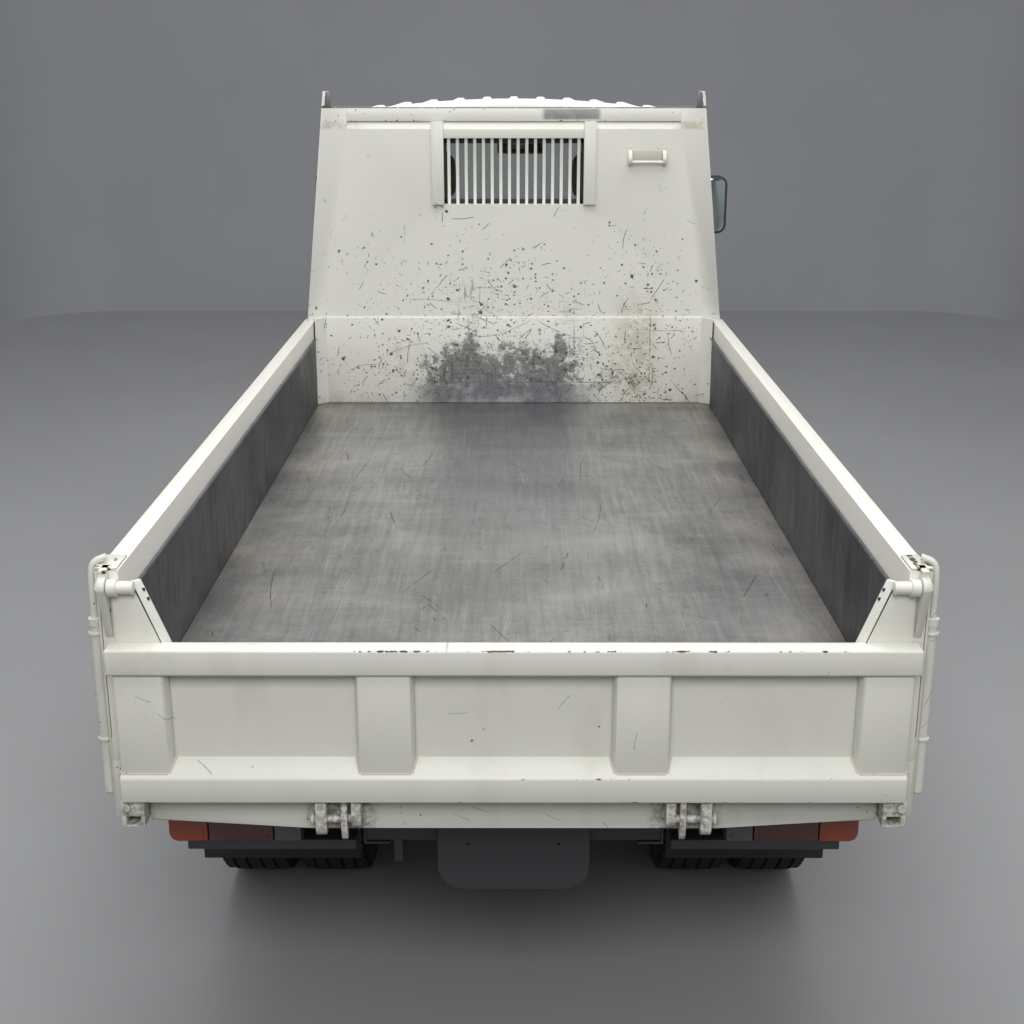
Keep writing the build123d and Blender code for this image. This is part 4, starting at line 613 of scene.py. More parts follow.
class Finish(Enum):
    """Every finish on the truck, with its recipe."""

    # Same white paint as the cab, made lighter: painted light for the brightly lit roof top; it is also more matt.
    ROOF_WHITE_PAINTED_LIGHT = Coat("roof_white_painted_light", (0.84, 0.84, 0.825), 0.6, grain=60.0, depth=0.00005, dirt=0.08,
                      dirt_colour=(0.55, 0.52, 0.46))
    CAB_WHITE = Coat("cab_white", (0.80, 0.80, 0.775), 0.26, grain=90.0, depth=0.00005, dirt=0.12,
                     dirt_colour=(0.42, 0.39, 0.33), clear=0.5)
    BED_WHITE = WornPaint("bed_white", (0.755, 0.75, 0.69), chips=0.09, cracks=0.8, plane=(1, 2), edges=(
        Line(0, 0.805, 2, 1.290, 0.009, 1.16), Line(0, 0.840, 2, 1.290, 0.006, 1.0),
        Line(0, 0.805, 2, 1.228, 0.010, 1.18)))
    GATE_WHITE = WornPaint("gate_white", chips=0.045, busy=(-0.40, 0.50), edges=(
        Line(1, -2.345, 2, 1.137, 0.008, 1.10), Line(1, -2.295, 2, 1.137, 0.006, 1.02),
        Line(1, -2.345, 2, 0.792, 0.006, 1.02), Line(1, -2.345, 2, 1.080, 0.005, 0.95),
        Line(1, -2.345, 2, 0.848, 0.005, 0.95)))
    FRAME_WHITE = WornPaint("rear_frame_white", (0.66, 0.66, 0.59), chips=0.14, stain=0.5,
                            grime=((0.40, 0.055), (0.33, 0.05), (0.80, 0.035)),
                            edges=(Line(0, 0.850, 2, 1.294, 0.014, 1.2),
                                   Line(0, 0.824, 2, 1.296, 0.014, 1.15)))
    LOCK_WHITE = WornPaint("lock_white", (0.70, 0.69, 0.62), chips=0.35, stain=0.6, grime=((0.37, 0.08),))
    WELD = WornPaint("weld_beads", (0.60, 0.56, 0.48), chips=0.5, stain=0.8)
    BOARD_WHITE = BoardPaint("headboard_white")
    FLOOR_STEEL = WornSteel("floor_steel", (0.165, 0.164, 0.163), (0.42, 0.416, 0.405), 0.45, 0.37)
    LINER_STEEL = WornSteel("liner_steel", (0.085, 0.09, 0.10), (0.235, 0.24, 0.25), 0.0, 0.44, 2, 0.45)
    BARE_PLATE = Coat("bare_plate", (0.52, 0.50, 0.44), 0.6, 0.1, 60.0, 0.0004, 0.4, (0.33, 0.28, 0.21))
    BARE_STEEL = Coat("bare_steel", (0.19, 0.19, 0.19), 0.5, 0.5, 90.0, 0.0003, 0.5, (0.09, 0.08, 0.07))
    CHASSIS = Coat("chassis_black", (0.009, 0.009, 0.010), 0.6, grain=120.0, dirt=0.35,
                   dirt_colour=(0.03, 0.027, 0.022))
    CASTING = Coat("casting", (0.10, 0.10, 0.10), 0.62, 0.4, 180.0, 0.0007, 0.5, (0.10, 0.075, 0.05))
    SILVER = Coat("wheel_silver", (0.46, 0.47, 0.48), 0.38, 0.55, 200.0, 0.0001, 0.35, (0.14, 0.12, 0.10))
    TANK = Coat("tank_silver", (0.38, 0.385, 0.39), 0.42, 0.5, 160.0, 0.0001, 0.4, (0.13, 0.115, 0.09))
    ZINC = Coat("zinc", (0.42, 0.41, 0.38), 0.36, 0.9, 300.0, 0.0002, 0.35, (0.12, 0.09, 0.06))
    CHROME = Coat("chrome", (0.75, 0.75, 0.76), 0.08, 1.0, 400.0, 0.00002, 0.05)
    RUST = Coat("rusty_steel", (0.15, 0.10, 0.07), 0.75, 0.35, 60.0, 0.001, 0.5, (0.12, 0.05, 0.025))
    TYRE = Coat("tyre_rubber", (0.014, 0.014, 0.014), 0.8, 0.0, 140.0, 0.0005, 0.4, (0.05, 0.045, 0.038))
    RUBBER = Coat("rubber", (0.009, 0.009, 0.009), 0.75, 0.0, 200.0, 0.0003, 0.3, (0.03, 0.027, 0.023))
    BLACK_PLASTIC = Coat("black_plastic", (0.022, 0.022, 0.024), 0.5, 0.0, 420.0, 0.0004, 0.25,
                         (0.10, 0.095, 0.085))
    GREY_TRIM = Coat("grey_trim", (0.10, 0.10, 0.11), 0.6, 0.0, 420.0, 0.0005, 0.15)
    SEAT_CLOTH = Cloth("seat_cloth", (0.06, 0.06, 0.068))
    GLASS = Tint("window_glass", (0.10, 0.13, 0.12), 0.16, glow=(0.36, 0.44, 0.42))
    LENS = Tint("clear_lens", (0.80, 0.82, 0.84), 0.25)
    MIRROR = Coat("mirror_face", (0.55, 0.62, 0.61), 0.05, 1.0, 300.0, 0.0, 0.05)
    AMBER = Coat("amber_lens", (0.62, 0.17, 0.02), 0.15, 0.0, 120.0, 0.0002, 0.1, clear=0.5)
    TAIL_LENS = TailLens("tail_lens")

    def material(self) -> bpy.types.Material:
        """The finish's material, made on first use."""
        found = bpy.data.materials.get(self.value.name)
        return found if found else self.value.material()


# ------------------------------------------------------------------ meshes
class Mould:
    """Mesh of one piece while it is made."""

    most_of_side = 0.45

    def __init__(self) -> None:
        """Start empty."""
        self.mesh = bmesh.new()

    def block(self, low: Point, high: Point, edge: float = 0.002, steps: int = 2) -> "Mould":
        """Add a box with rounded edges."""
        middle = (Vector(low) + Vector(high)) / 2
        size = Vector(high) - Vector(low)
        made = bmesh.ops.create_cube(self.mesh, size=1.0, matrix=Matrix.Translation(middle) @ Matrix.Diagonal(
            (*size, 1.0)))
        edge = min(edge, min(size) * self.most_of_side)
        if edge > 0:
            edges = list({e for v in made["verts"] for e in v.link_edges})
            bmesh.ops.bevel(self.mesh, geom=edges, offset=edge, segments=steps, profile=0.5, affect="EDGES")
        return self

    def lathe(self, profile: Sequence[Tuple[float, float]], centre: Point, axis: Point = (1, 0, 0),
              steps: int = 32) -> "Mould":
        """Turn a profile of (distance along the axis, radius) round an axis through centre."""
        direction = Vector(axis).normalized()
        turn = Vector((1, 0, 0)).rotation_difference(direction).to_matrix().to_4x4()
        place = Matrix.Translation(Vector(centre)) @ turn
        rings: List[List[bmesh.types.BMVert]] = []
        for along, radius in profile:
            if radius < TINY:
                rings.append([self.mesh.verts.new(place @ Vector((along, 0, 0)))])
                continue
            rings.append([self.mesh.verts.new(place @ Vector((along, radius * math.cos(a), radius * math.sin(a))))
                          for a in (2 * math.pi * i / steps for i in range(steps))])
        for first, second in zip(rings, rings[1:]):
            for i in range(steps):
                j = (i + 1) % steps
                corners = [first[i % len(first)], first[j % len(first)], second[j % len(second)],
                           second[i % len(second)]]
                corners = list(dict.fromkeys(corners))
                if len(corners) > 2:
                    self.mesh.faces.new(corners)
        return self

    def disc(self, centre: Point, axis: Point, radius: float, height: float, edge: float = 0.001,
             steps: int = 24) -> "Mould":
        """Add a short closed cylinder that starts at centre and rises along axis."""
        profile = [(0, 0), (0, radius), (height - edge, radius), (height, radius - edge), (height, 0)]
        return self.lathe(profile, centre, axis, steps)

    def bar(self, points: Sequence[Point], radius: float, sides: int = 12, bends: int = 0) -> "Mould":
        """Add a round bar along a path, its corners smoothed bends times."""
        path = [Vector(p) for p in points]
        for _ in range(bends):
            smooth = [path[0]]
            for a, b in zip(path, path[1:]):
                smooth += [a.lerp(b, 0.25), a.lerp(b, 0.75)]
            path = smooth + [path[-1]]
        normal = (path[1] - path[0]).orthogonal().normalized()
        rings = []
        for i, p in enumerate(path):
            before, after = path[max(i - 1, 0)], path[min(i + 1, len(path) - 1)]
            ahead = (after - before).normalized()
            normal = (normal - ahead * normal.dot(ahead)).normalized()
            across = ahead.cross(normal)
            rings.append([self.mesh.verts.new(p + (normal * math.cos(a) + across * math.sin(a)) * radius)
                          for a in (2 * math.pi * k / sides for k in range(sides))])
        for first, second in zip(rings, rings[1:]):
            for i in range(sides):
                j = (i + 1) % sides
                self.mesh.faces.new([first[i], first[j], second[j], second[i]])
        self.mesh.faces.new(rings[0][::-1])
        self.mesh.faces.new(rings[-1])
        return self

    def prism(self, outline: Sequence[Tuple[float, float]], axis: int, low: float, high: float,
              edge: float = 0.0015) -> "Mould":
        """Add a prism whose outline lies across an axis: (y, z), (x, z) or (x, y)."""
        def place(pair: Tuple[float, float], along: float) -> Vector:
            values = list(pair)
            values.insert(axis, along)
            return Vector(values)
        return self.loft([place(p, low) for p in outline], [place(p, high) for p in outline], edge)

    def loft(self, first: Sequence[Point], second: Sequence[Point], edge: float = 0.001) -> "Mould":
        """Add a closed shape between two rings of as many points."""
        rings = [[self.mesh.verts.new(Vector(p)) for p in ring] for ring in (first, second)]
        made = [self.mesh.faces.new(rings[0]), self.mesh.faces.new(rings[1][::-1])]
        for i in range(len(first)):
            j = (i + 1) % len(first)
            made.append(self.mesh.faces.new([rings[0][j], rings[0][i], rings[1][i], rings[1][j]]))
        if edge > 0:
            edges = list({e for f in made for e in f.edges})
            bmesh.ops.bevel(self.mesh, geom=edges, offset=edge, segments=2, profile=0.5, affect="EDGES",
                            clamp_overlap=True)
        return self

    def cushion(self, centre: Point, half: Point, corner: float, crown: float, tilt: float = 0.0,
                seams: Sequence[float] = ()) -> "Mould":
        """Add a crowned pad with soft corners.

        Args:
            centre: its middle.
            half: half its width, depth and height.
            corner: corner radius.
            crown: how far each side stands out at its middle.
            tilt: turn about the X axis, in degrees.
            seams: where sewn channels run, across the width.

        Returns:
            The mould.
        """
        pad, channel = Mould(), 0.006
        bmesh.ops.create_cube(pad.mesh, size=2.0)
        bmesh.ops.subdivide_edges(pad.mesh, edges=pad.mesh.edges[:], cuts=22, use_grid_fill=True)
        place = Matrix.Translation(Vector(centre)) @ Matrix.Rotation(math.radians(tilt), 4, "X")
        for v in pad.mesh.verts:
            unit = v.co.copy()
            flat = Vector(unit[i] * half[i] for i in range(3))
            core = Vector(max(-half[i] + corner, min(half[i] - corner, flat[i])) for i in range(3))
            out = (flat - core).normalized()
            face = max(range(3), key=lambda i: abs(unit[i]))
            swell = math.prod(1 - unit[i] ** 2 for i in range(3) if i != face)
            groove = sum(math.exp(-((flat.x - seam) / channel) ** 2) for seam in seams) * (swell ** 0.25)
            v.co = place @ (core + out * (corner + crown * swell ** 0.6 - channel * groove))
        return self.merge(pad)

    def merge(self, other: "Mould") -> "Mould":
        """Take in another mould's mesh."""
        spare = bpy.data.meshes.new("spare")
        other.mesh.to_mesh(spare)
        other.mesh.free()
        self.mesh.from_mesh(spare)
        bpy.data.meshes.remove(spare)
        return self

    def both(self) -> "Mould":
        """Add the mirror image across the truck."""
        made = bmesh.ops.duplicate(self.mesh, geom=self.mesh.verts[:] + self.mesh.edges[:] + self.mesh.faces[:])
        copied = [v for v in made["geom"] if isinstance(v, bmesh.types.BMVert)]
        for v in copied:
            v.co.x = -v.co.x
        bmesh.ops.reverse_faces(self.mesh, faces=[f for f in made["geom"] if isinstance(f, bmesh.types.BMFace)])
        return self

    def side(self, sign: int) -> "Mould":
        """Move the mesh to the other side of the truck when sign is -1."""
        if sign < 0:
            for v in self.mesh.verts:
                v.co.x = -v.co.x
            bmesh.ops.reverse_faces(self.mesh, faces=self.mesh.faces[:])
        return self

    def object(self, name: str, finish: Finish, smooth: float = SMOOTH) -> bpy.types.Object:
        """Close the mesh into an object with its finish, smooth up to an angle in degrees."""
        bmesh.ops.remove_doubles(self.mesh, verts=self.mesh.verts, dist=TINY)
        bmesh.ops.recalc_face_normals(self.mesh, faces=self.mesh.faces)
        return finished(self.mesh, name, finish, smooth)

    def piece(self, name: str, body: str, finish: Finish, slot: str, smooth: float = SMOOTH,
              replaces: Sequence[str] = ()) -> bpy.types.Object:
        """Close the mesh into a piece that rides on a body."""
        return report(self.object(name, finish, smooth), body, replaces)


def linked(name: str, data: bpy.types.ID) -> bpy.types.Object:
    """A new object that stands in the scene."""
    made = bpy.data.objects.new(name, data)
    bpy.context.scene.collection.objects.link(made)
    return made


def finished(mesh: bmesh.types.BMesh, name: str, finish: Finish, smooth: float) -> bpy.types.Object:
    """Turn a bmesh into a linked object.

    Args:
        mesh: the finished mesh, which is freed.
        name: the object's name.
        finish: its finish.
        smooth: edges flatter than this many degrees are smooth.

    Returns:
        The object.
    """
    limit = math.radians(smooth)
    for face in mesh.faces:
        face.smooth = True
    for edge in mesh.edges:
        edge.smooth = len(edge.link_faces) == 2 and edge.calc_face_angle(0.0) < limit
    data = bpy.data.meshes.new(name)
    mesh.to_mesh(data)
    mesh.free()
    data.materials.append(finish.material())
    return linked(name, data)


def report(piece: bpy.types.Object, body: str, replaces: Sequence[str] = ()) -> bpy.types.Object:
    """Ride a piece on its body and what it stands for, and log it."""
    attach(piece, body)
    if replaces:
        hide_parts(*replaces)
    LOG.info("%s on %s, %d faces", piece.name, body, len(piece.data.polygons))
    return piece


# ------------------------------------------------------------------ repeats
class Group:
    """Geometry Nodes group that ends by making its copies real and giving them a finish."""

    def __init__(self, name: str, *inputs: Tuple[str, str]) -> None:
        """Start a group with named inputs, each with its kind, and a last one called Finish."""
        self.tree = bpy.data.node_groups.new(name, "GeometryNodeTree")
        face = self.tree.interface
        for label, kind in (*inputs, ("Finish", "Material")):
            face.new_socket(name=label, in_out="INPUT", socket_type=f"NodeSocket{kind}")
        face.new_socket(name="Mesh", in_out="OUTPUT", socket_type="NodeSocketGeometry")
        self.new, self.link = self.tree.nodes.new, self.tree.links.new
        self.start = self.new("NodeGroupInput").outputs

    def close(self, result: bpy.types.NodeSocket) -> "Group":
        """Lead the result to the output."""
        real, paint = self.new("GeometryNodeRealizeInstances"), self.new("GeometryNodeSetMaterial")
        self.link(result, real.inputs[0])
        self.link(real.outputs[0], paint.inputs["Geometry"])
        self.link(self.start["Finish"], paint.inputs["Material"])
        self.link(paint.outputs[0], self.new("NodeGroupOutput").inputs[0])
        return self

    def grow(self, made: bpy.types.Object, values: Dict[str, object]) -> bpy.types.Mesh:
        """The mesh that the group makes of an object, with its inputs set to the values."""
        modifier = made.modifiers.new("group", "NODES")
        modifier.node_group = self.tree
        for item in self.tree.interface.items_tree:
            if item.in_out == "INPUT" and item.name in values:
                modifier[item.identifier] = values[item.name]
        made.update_tag()
        bpy.context.view_layer.update()
        return bpy.data.meshes.new_from_object(made.evaluated_get(bpy.context.evaluated_depsgraph_get()))


class Layout(Enum):
    """How copies stand."""

    ROW = "row"
    RING = "ring"


class Repeat:
    """Copies of a mesh in a row, or in a ring round an axis along X, by Geometry Nodes."""

    groups: Dict[Layout, Group] = {}
    seed = 7

    @classmethod
    def group(cls, layout: Layout) -> Group:
        """The group of one layout, made on first use.

        Args:
            layout: row or ring.

        Returns:
            The group, with inputs Stamp, Count, Start, Step, Spread and Finish.
        """
        if layout in cls.groups:
            return cls.groups[layout]
        group = Group(f"repeat_{layout.value}", ("Stamp", "Geometry"), ("Count", "Int"), ("Start", "Vector"),
                      ("Step", "Vector"), ("Spread", "Float"))
        new, link, start = group.new, group.link, group.start
        points, index = new("GeometryNodePoints"), new("GeometryNodeInputIndex")
        link(start["Count"], points.inputs["Count"])
        stand, copies = new("GeometryNodeSetPosition"), new("GeometryNodeInstanceOnPoints")
        link(points.outputs[0], stand.inputs["Geometry"])
        scaled = new("ShaderNodeVectorMath")
        scaled.operation = "SCALE"
        link(start["Step"], scaled.inputs[0])
        link(index.outputs[0], scaled.inputs["Scale"])
        jitter = new("FunctionNodeRandomValue")
        jitter.data_type = "FLOAT"
        jitter.inputs["Seed"].default_value = cls.seed
        lowest = new("ShaderNodeMath")
        lowest.operation = "MULTIPLY"
        link(start["Spread"], lowest.inputs[0])
        lowest.inputs[1].default_value = -1.0
        link(lowest.outputs[0], jitter.inputs[2])
        link(start["Spread"], jitter.inputs[3])
        spin, turn = new("ShaderNodeCombineXYZ"), new("FunctionNodeEulerToRotation")
        if layout is Layout.ROW:
            total = new("ShaderNodeVectorMath")
            link(start["Start"], total.inputs[0])
            link(scaled.outputs[0], total.inputs[1])
            link(total.outputs[0], stand.inputs["Position"])
            link(jitter.outputs[1], spin.inputs["X"])
        else:
            link(start["Start"], stand.inputs["Position"])
            split, sum_ = new("ShaderNodeSeparateXYZ"), new("ShaderNodeMath")
            link(scaled.outputs[0], split.inputs[0])
            link(split.outputs["X"], sum_.inputs[0])
            link(jitter.outputs[1], sum_.inputs[1])
            link(sum_.outputs[0], spin.inputs["X"])
        link(spin.outputs[0], turn.inputs[0])
        link(stand.outputs[0], copies.inputs["Points"])
        link(start["Stamp"], copies.inputs["Instance"])
        link(turn.outputs[0], copies.inputs["Rotation"])
        cls.groups[layout] = group.close(copies.outputs[0])
        return group

    @classmethod
    def stamp(cls, mould: Mould, layout: Layout, count: int, start: Point, step: Point, finish: Finish,
              spread: float = 0.0, smooth: float = SMOOTH) -> bpy.types.Object:
        """Stand copies of a mesh and return them as one plain object.

        Args:
            mould: the shape, about the origin; for a ring it stands off the axis.
            layout: row or ring.
            count: how many.
            start: the first copy's place, or the ring's centre.
            step: the step from copy to copy; for a ring its first number is the turn in radians.
            finish: the copies' finish.
            spread: random turn about X, in radians.
            smooth: smoothing angle in degrees.

        Returns:
            The object, at the origin, with no modifier left.
        """
        made = mould.object(f"stamp_{len(bpy.data.objects)}", finish, smooth)
        values = {"Count": count, "Start": start, "Step": step, "Spread": spread, "Finish": finish.material()}
        result = cls.group(layout).grow(made, values)
        made.modifiers.clear()
        made.data = result
        return made


def bolt_row(head: Tuple[float, float, float, float], axis: Point, sides: int, count: int, start: Point,
             step: Point, finish: Finish) -> bpy.types.Object:
    """Stand bolt heads in a row.

    Args:
        head: radius, height of the straight side, radius of the crown and whole height.
        axis: where the heads point.
        sides: faces round a head.
        count: how many.
        start: the first one's place.
        step: from one to the next.
        finish: their finish.

    Returns:
        The row as one plain object.
    """
    radius, shoulder, crown, height = head
    profile = [(0, 0), (0, radius), (shoulder, radius), (height, crown), (height, 0)]
    bolt = Mould().lathe(profile, (0, 0, 0), axis, sides)
    return Repeat.stamp(bolt, Layout.ROW, count, start, step, finish)


def joined(name: str, parts: Sequence[bpy.types.Object]) -> bpy.types.Object:
    """Join plain objects that share a finish into one, named name."""
    mesh = bmesh.new()
    for part in parts:
        mesh.from_mesh(part.data)
    data = bpy.data.meshes.new(name)
    mesh.to_mesh(data)
    mesh.free()
    data.materials.append(parts[0].data.materials[0])
    for part in parts:
        bpy.data.objects.remove(part)
    return linked(name, data)


def arc(middle: Tuple[float, float], radius: float, start: float, turn: float,
        steps: int) -> List[Tuple[float, float]]:
    """Points along an arc about middle, from start over turn, both in degrees."""
    angles = (math.radians(start + turn * i / steps) for i in range(steps + 1))
    return [(middle[0] + radius * math.cos(a), middle[1] + radius * math.sin(a)) for a in angles]


def rounded(low: Tuple[float, float], high: Tuple[float, float], radius: float, steps: int = 5,
            corners: Sequence[int] = (0, 1, 2, 3)) -> List[Tuple[float, float]]:
    """Outline of a rectangle with round corners, counted from the low corner round.

    Args:
        low: the low corner.
        high: the high corner.
        radius: corner radius.
        steps: points across a corner, less one.
        corners: which corners are round.

    Returns:
        The outline.
    """
    middles = [(low[0] + radius, low[1] + radius), (high[0] - radius, low[1] + radius),
               (high[0] - radius, high[1] - radius), (low[0] + radius, high[1] - radius)]
    sharp = [low, (high[0], low[1]), high, (low[0], high[1])]
    outline: List[Tuple[float, float]] = []
    for i, middle in enumerate(middles):
        outline += arc(middle, radius, 180 + 90 * i, 90, steps) if i in corners else [sharp[i]]
    return outline


class Piping:
    """A round section along a path with rounded corners, by Geometry Nodes."""

    made: Optional[Group] = None
    sides = 10
    corner_steps = 4
    smooth = 50.0

    @classmethod
    def group(cls) -> Group:
        """The group, made on first use, with inputs Path, Radius, Corner and Finish."""
        if cls.made is not None:
            return cls.made
        group = Group("piping", ("Path", "Geometry"), ("Radius", "Float"), ("Corner", "Float"))
        new, link, start = group.new, group.link, group.start
        curve, fillet = new("GeometryNodeMeshToCurve"), new("GeometryNodeFilletCurve")
        if hasattr(fillet, "mode"):
            fillet.mode = "POLY"
        fillet.inputs["Count"].default_value = cls.corner_steps
        fillet.inputs["Limit Radius"].default_value = True
        ring, skin = new("GeometryNodeCurvePrimitiveCircle"), new("GeometryNodeCurveToMesh")
        skin.inputs["Fill Caps"].default_value = True
        ring.inputs["Resolution"].default_value = cls.sides
        link(start["Path"], curve.inputs["Mesh"])
        link(curve.outputs[0], fillet.inputs["Curve"])
        link(start["Corner"], fillet.inputs["Radius"])
        link(start["Radius"], ring.inputs["Radius"])
        link(fillet.outputs[0], skin.inputs["Curve"])
        link(ring.outputs[0], skin.inputs["Profile Curve"])
        cls.made = group.close(skin.outputs[0])
        return group

    @classmethod
    def run(cls, points: Sequence[Point], radius: float, finish: Finish, corner: float = 0.0,
            closed: bool = False) -> bpy.types.Object:
        """Run a round section along points.

        Args:
            points: the path.
            radius: of the section.
            finish: its finish.
            corner: corner radius of the path.
            closed: whether the path returns to its start.

        Returns:
            The object, at the origin, with no modifier left.
        """
        count = len(points)
        edges = [(i, i + 1) for i in range(count - 1)] + ([(count - 1, 0)] if closed else [])
        data = bpy.data.meshes.new("path")
        data.from_pydata([tuple(p) for p in points], edges, [])
        made = linked(f"path_{len(bpy.data.objects)}", data)
        mesh = bmesh.new()
        mesh.from_mesh(cls.group().grow(made, {"Radius": radius, "Corner": corner, "Finish": finish.material()}))
        bpy.data.objects.remove(made)
        bmesh.ops.recalc_face_normals(mesh, faces=mesh.faces)
        return finished(mesh, f"piping_{len(bpy.data.objects)}", finish, cls.smooth)


# ------------------------------------------------------------------ carried-over nodes
@dataclass
class Frame:
    """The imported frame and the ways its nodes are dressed."""

    nodes: Dict[str, bpy.types.Object]
    record: dict
    slots: Dict[str, str] = field(default_factory=dict)
    bodies: Dict[str, str] = field(default_factory=dict)
    sharp: float = 28.0
    smooth: float = 40.0
    weld: float = 2e-5
    flat: float = 0.5
    length: float = 2.5

    def __post_init__(self) -> None:
        """Look up each node's slot and body."""
        self.slots = {part["node"]: part["material_slot"] for part in self.record["subparts"]}
        self.bodies = {node: body for body, nodes in self.record["behaviour"]["bodies"].items() for node in nodes}

    def paint(self, finish: Finish, *names: str) -> None:
        """Give carried-over nodes a finish, with their own shape kept."""
        for name in names:
            slots = self.nodes[name].data.materials
            slots.clear()
            slots.append(finish.material())

    def copy(self, name: str) -> bmesh.types.BMesh:
        """A node's mesh, welded and with faces joined that lie within flat degrees of each other."""
        mesh = bmesh.new()
        mesh.from_mesh(self.nodes[name].data)
        bmesh.ops.remove_doubles(mesh, verts=mesh.verts, dist=self.weld)
        bmesh.ops.dissolve_limit(mesh, angle_limit=math.radians(self.flat), verts=mesh.verts,
                                 edges=mesh.edges,
                                 use_dissolve_boundaries=False)
        return mesh

    def soften(self, name: str, finish: Finish, edge: float, steps: int = 2, other: Optional[Finish] = None,
               where: Callable[[Vector], bool] = lambda middle: False) -> bpy.types.Object:
        """Stand a copy of a node with rounded edges in its place.

        Args:
            name: the node.
            finish: the copy's finish.
            edge: how far the rounding reaches, in metres.
            steps: faces across each rounding.
            other: a second finish.
            where: tells from a face's middle whether the second finish goes there.

        Returns:
            The copy.
        """
        mesh = self.copy(name)
        limit = math.radians(self.sharp)
        sharp = [e for e in mesh.edges if len(e.link_faces) == 2 and e.calc_face_angle(0.0) > limit
                 and e.calc_length() > edge * self.length]
        if sharp:
            bmesh.ops.bevel(mesh, geom=sharp, offset=edge, segments=steps, profile=0.5, affect="EDGES",
                            clamp_overlap=True, loop_slide=True)
        bmesh.ops.triangulate(mesh, faces=[f for f in mesh.faces if len(f.verts) > 4])
        made = finished(mesh, f"{name}_dressed", finish, self.smooth)
        if other:
            made.data.materials.append(other.material())
            for face in made.data.polygons:
                face.material_index = int(where(face.center))
        return report(made, self.bodies[name], [name])


# ------------------------------------------------------------------ wheels
@dataclass
class Wheels:
    """Tyres with their tread, wheel nuts and valves."""

    frame: Frame
    outer: float = 0.3875
    bead: float = 0.212
    half: float = 0.0975
    nuts: int = 6
    nut_ring: float = 0.101
    axle: float = 0.3875
    front: Tuple[float, float, float] = (0.680, 1.315, 0.7925)
    rear: Tuple[float, float, float, float] = (0.5025, 0.7275, -1.185, 0.625)
    lugs: int = 58
    steps: int = 96
    grooves: Tuple[float, ...] = (-0.056, -0.020, 0.020, 0.056)
    blocks: Tuple[float, ...] = (-0.038, 0.0, 0.038)

    def tyre(self, centre: Point) -> List[bpy.types.Object]:
        """One tyre: carcass with grooves, and a ring of shoulder lugs on each side."""
        r, tread = self.outer, 0.0085
        groove = []
        for place in self.grooves:
            groove += [(place - 0.0042, r), (place - 0.0034, r - tread), (place + 0.0034, r - tread),
                       (place + 0.0042, r)]
        wall = [(0.078, r - 0.0035), (0.081, r - 0.012), (0.089, r - 0.022), (0.0945, r - 0.045),
                (0.0955, r - 0.050), (0.0975, r - 0.075), (0.0972, r - 0.100), (0.0960, r - 0.103),
                (0.0935, r - 0.125), (0.0915, r - 0.131), (0.0935, r - 0.134), (0.0880, r - 0.155),
                (0.0830, self.bead + 0.006), (0.078, self.bead), (0.074, self.bead - 0.004)]
        profile = [(-x, y) for x, y in reversed(wall)] + [(x, y - 0.0001) for x, y in groove] + wall
        profile.append(profile[0])
        body = Mould().lathe(profile, centre, (1, 0, 0), self.steps).object("carcass", Finish.TYRE, 30)
        lugs = Mould()
        for side in (-1, 1):
            low, high = sorted((side * 0.0635, side * 0.0885))
            lugs.block((low, -0.0125, r - 0.02), (high, 0.0125, r - 0.0030), 0.0018, 1)
            low, high = sorted((side * 0.0875, side * 0.0940))
            lugs.block((low, -0.0115, r - 0.052), (high, 0.0115, r - 0.016), 0.0015, 1)
        for place in self.blocks:
            lugs.block((place - 0.0125, -0.0145, r - 0.006), (place + 0.0125, 0.0100, r + 0.0005), 0.0008, 1)
        ring = Repeat.stamp(lugs, Layout.RING, self.lugs, centre,
                            (2 * math.pi / self.lugs, 0, 0), Finish.TYRE)
        return [body, ring]

    def hardware(self, side: int, centre: Point, face: float) -> List[bpy.types.Object]:
        """Wheel nuts on their studs and a valve, on the disc's outer face."""
        nut = Mould()
        nut.lathe([(0, 0), (0, 0.0185), (0.003, 0.0185), (0.004, 0.0155), (0.019, 0.0155), (0.021, 0.0135),
                   (0.021, 0.0085), (0.030, 0.0085), (0.031, 0.0075), (0.031, 0)],
                   (0, 0, self.nut_ring), (1, 0, 0), 6)
        nut.side(side)
        place = (side * face, centre[1], centre[2])
        ring = Repeat.stamp(nut, Layout.RING, self.nuts, place, (2 * math.pi / self.nuts, 0, 0),
                            Finish.ZINC, 0.03, 20)
        cap = Mould()
        cap.bar([(0, 0.02, 0.150), (0.018, 0.02, 0.158), (0.045, 0.02, 0.161)], 0.004, 8)
        cap.side(side)
        valve = Repeat.stamp(cap, Layout.ROW, 1, place, (0, 0, 0), Finish.ZINC)
        return [ring, valve]

    def build(self) -> None:
        """Make every wheel.

        The fields front and rear hold the tyres' X, the axle's Y and the X of the discs' outer face.
        """
        for sign, name in SIDES:
            x, y, face = self.front
            place = (sign * x, y, self.axle)
            report(joined(f"tyre_front_{name}_tread", self.tyre(place)), f"wheel_front_{name}",
                   [f"tyre_front_{name}"])
            report(joined(f"wheel_nuts_front_{name}", self.hardware(sign, place, face)),
                   f"wheel_front_{name}")
            *columns, y, face = self.rear
            pair = [half for x in columns for half in self.tyre((sign * x, y, self.axle))]
            report(joined(f"tyres_rear_{name}_tread", pair), f"wheels_rear_{name}",
                   [f"tyres_rear_{name}"])
            report(joined(f"wheel_nuts_rear_{name}", self.hardware(sign, (0, y, self.axle), face)),
                   f"wheels_rear_{name}")
            self.frame.soften(f"rim_front_{name}", Finish.SILVER, 0.0015)
            self.frame.soften(f"rims_rear_{name}", Finish.SILVER, 0.0015)


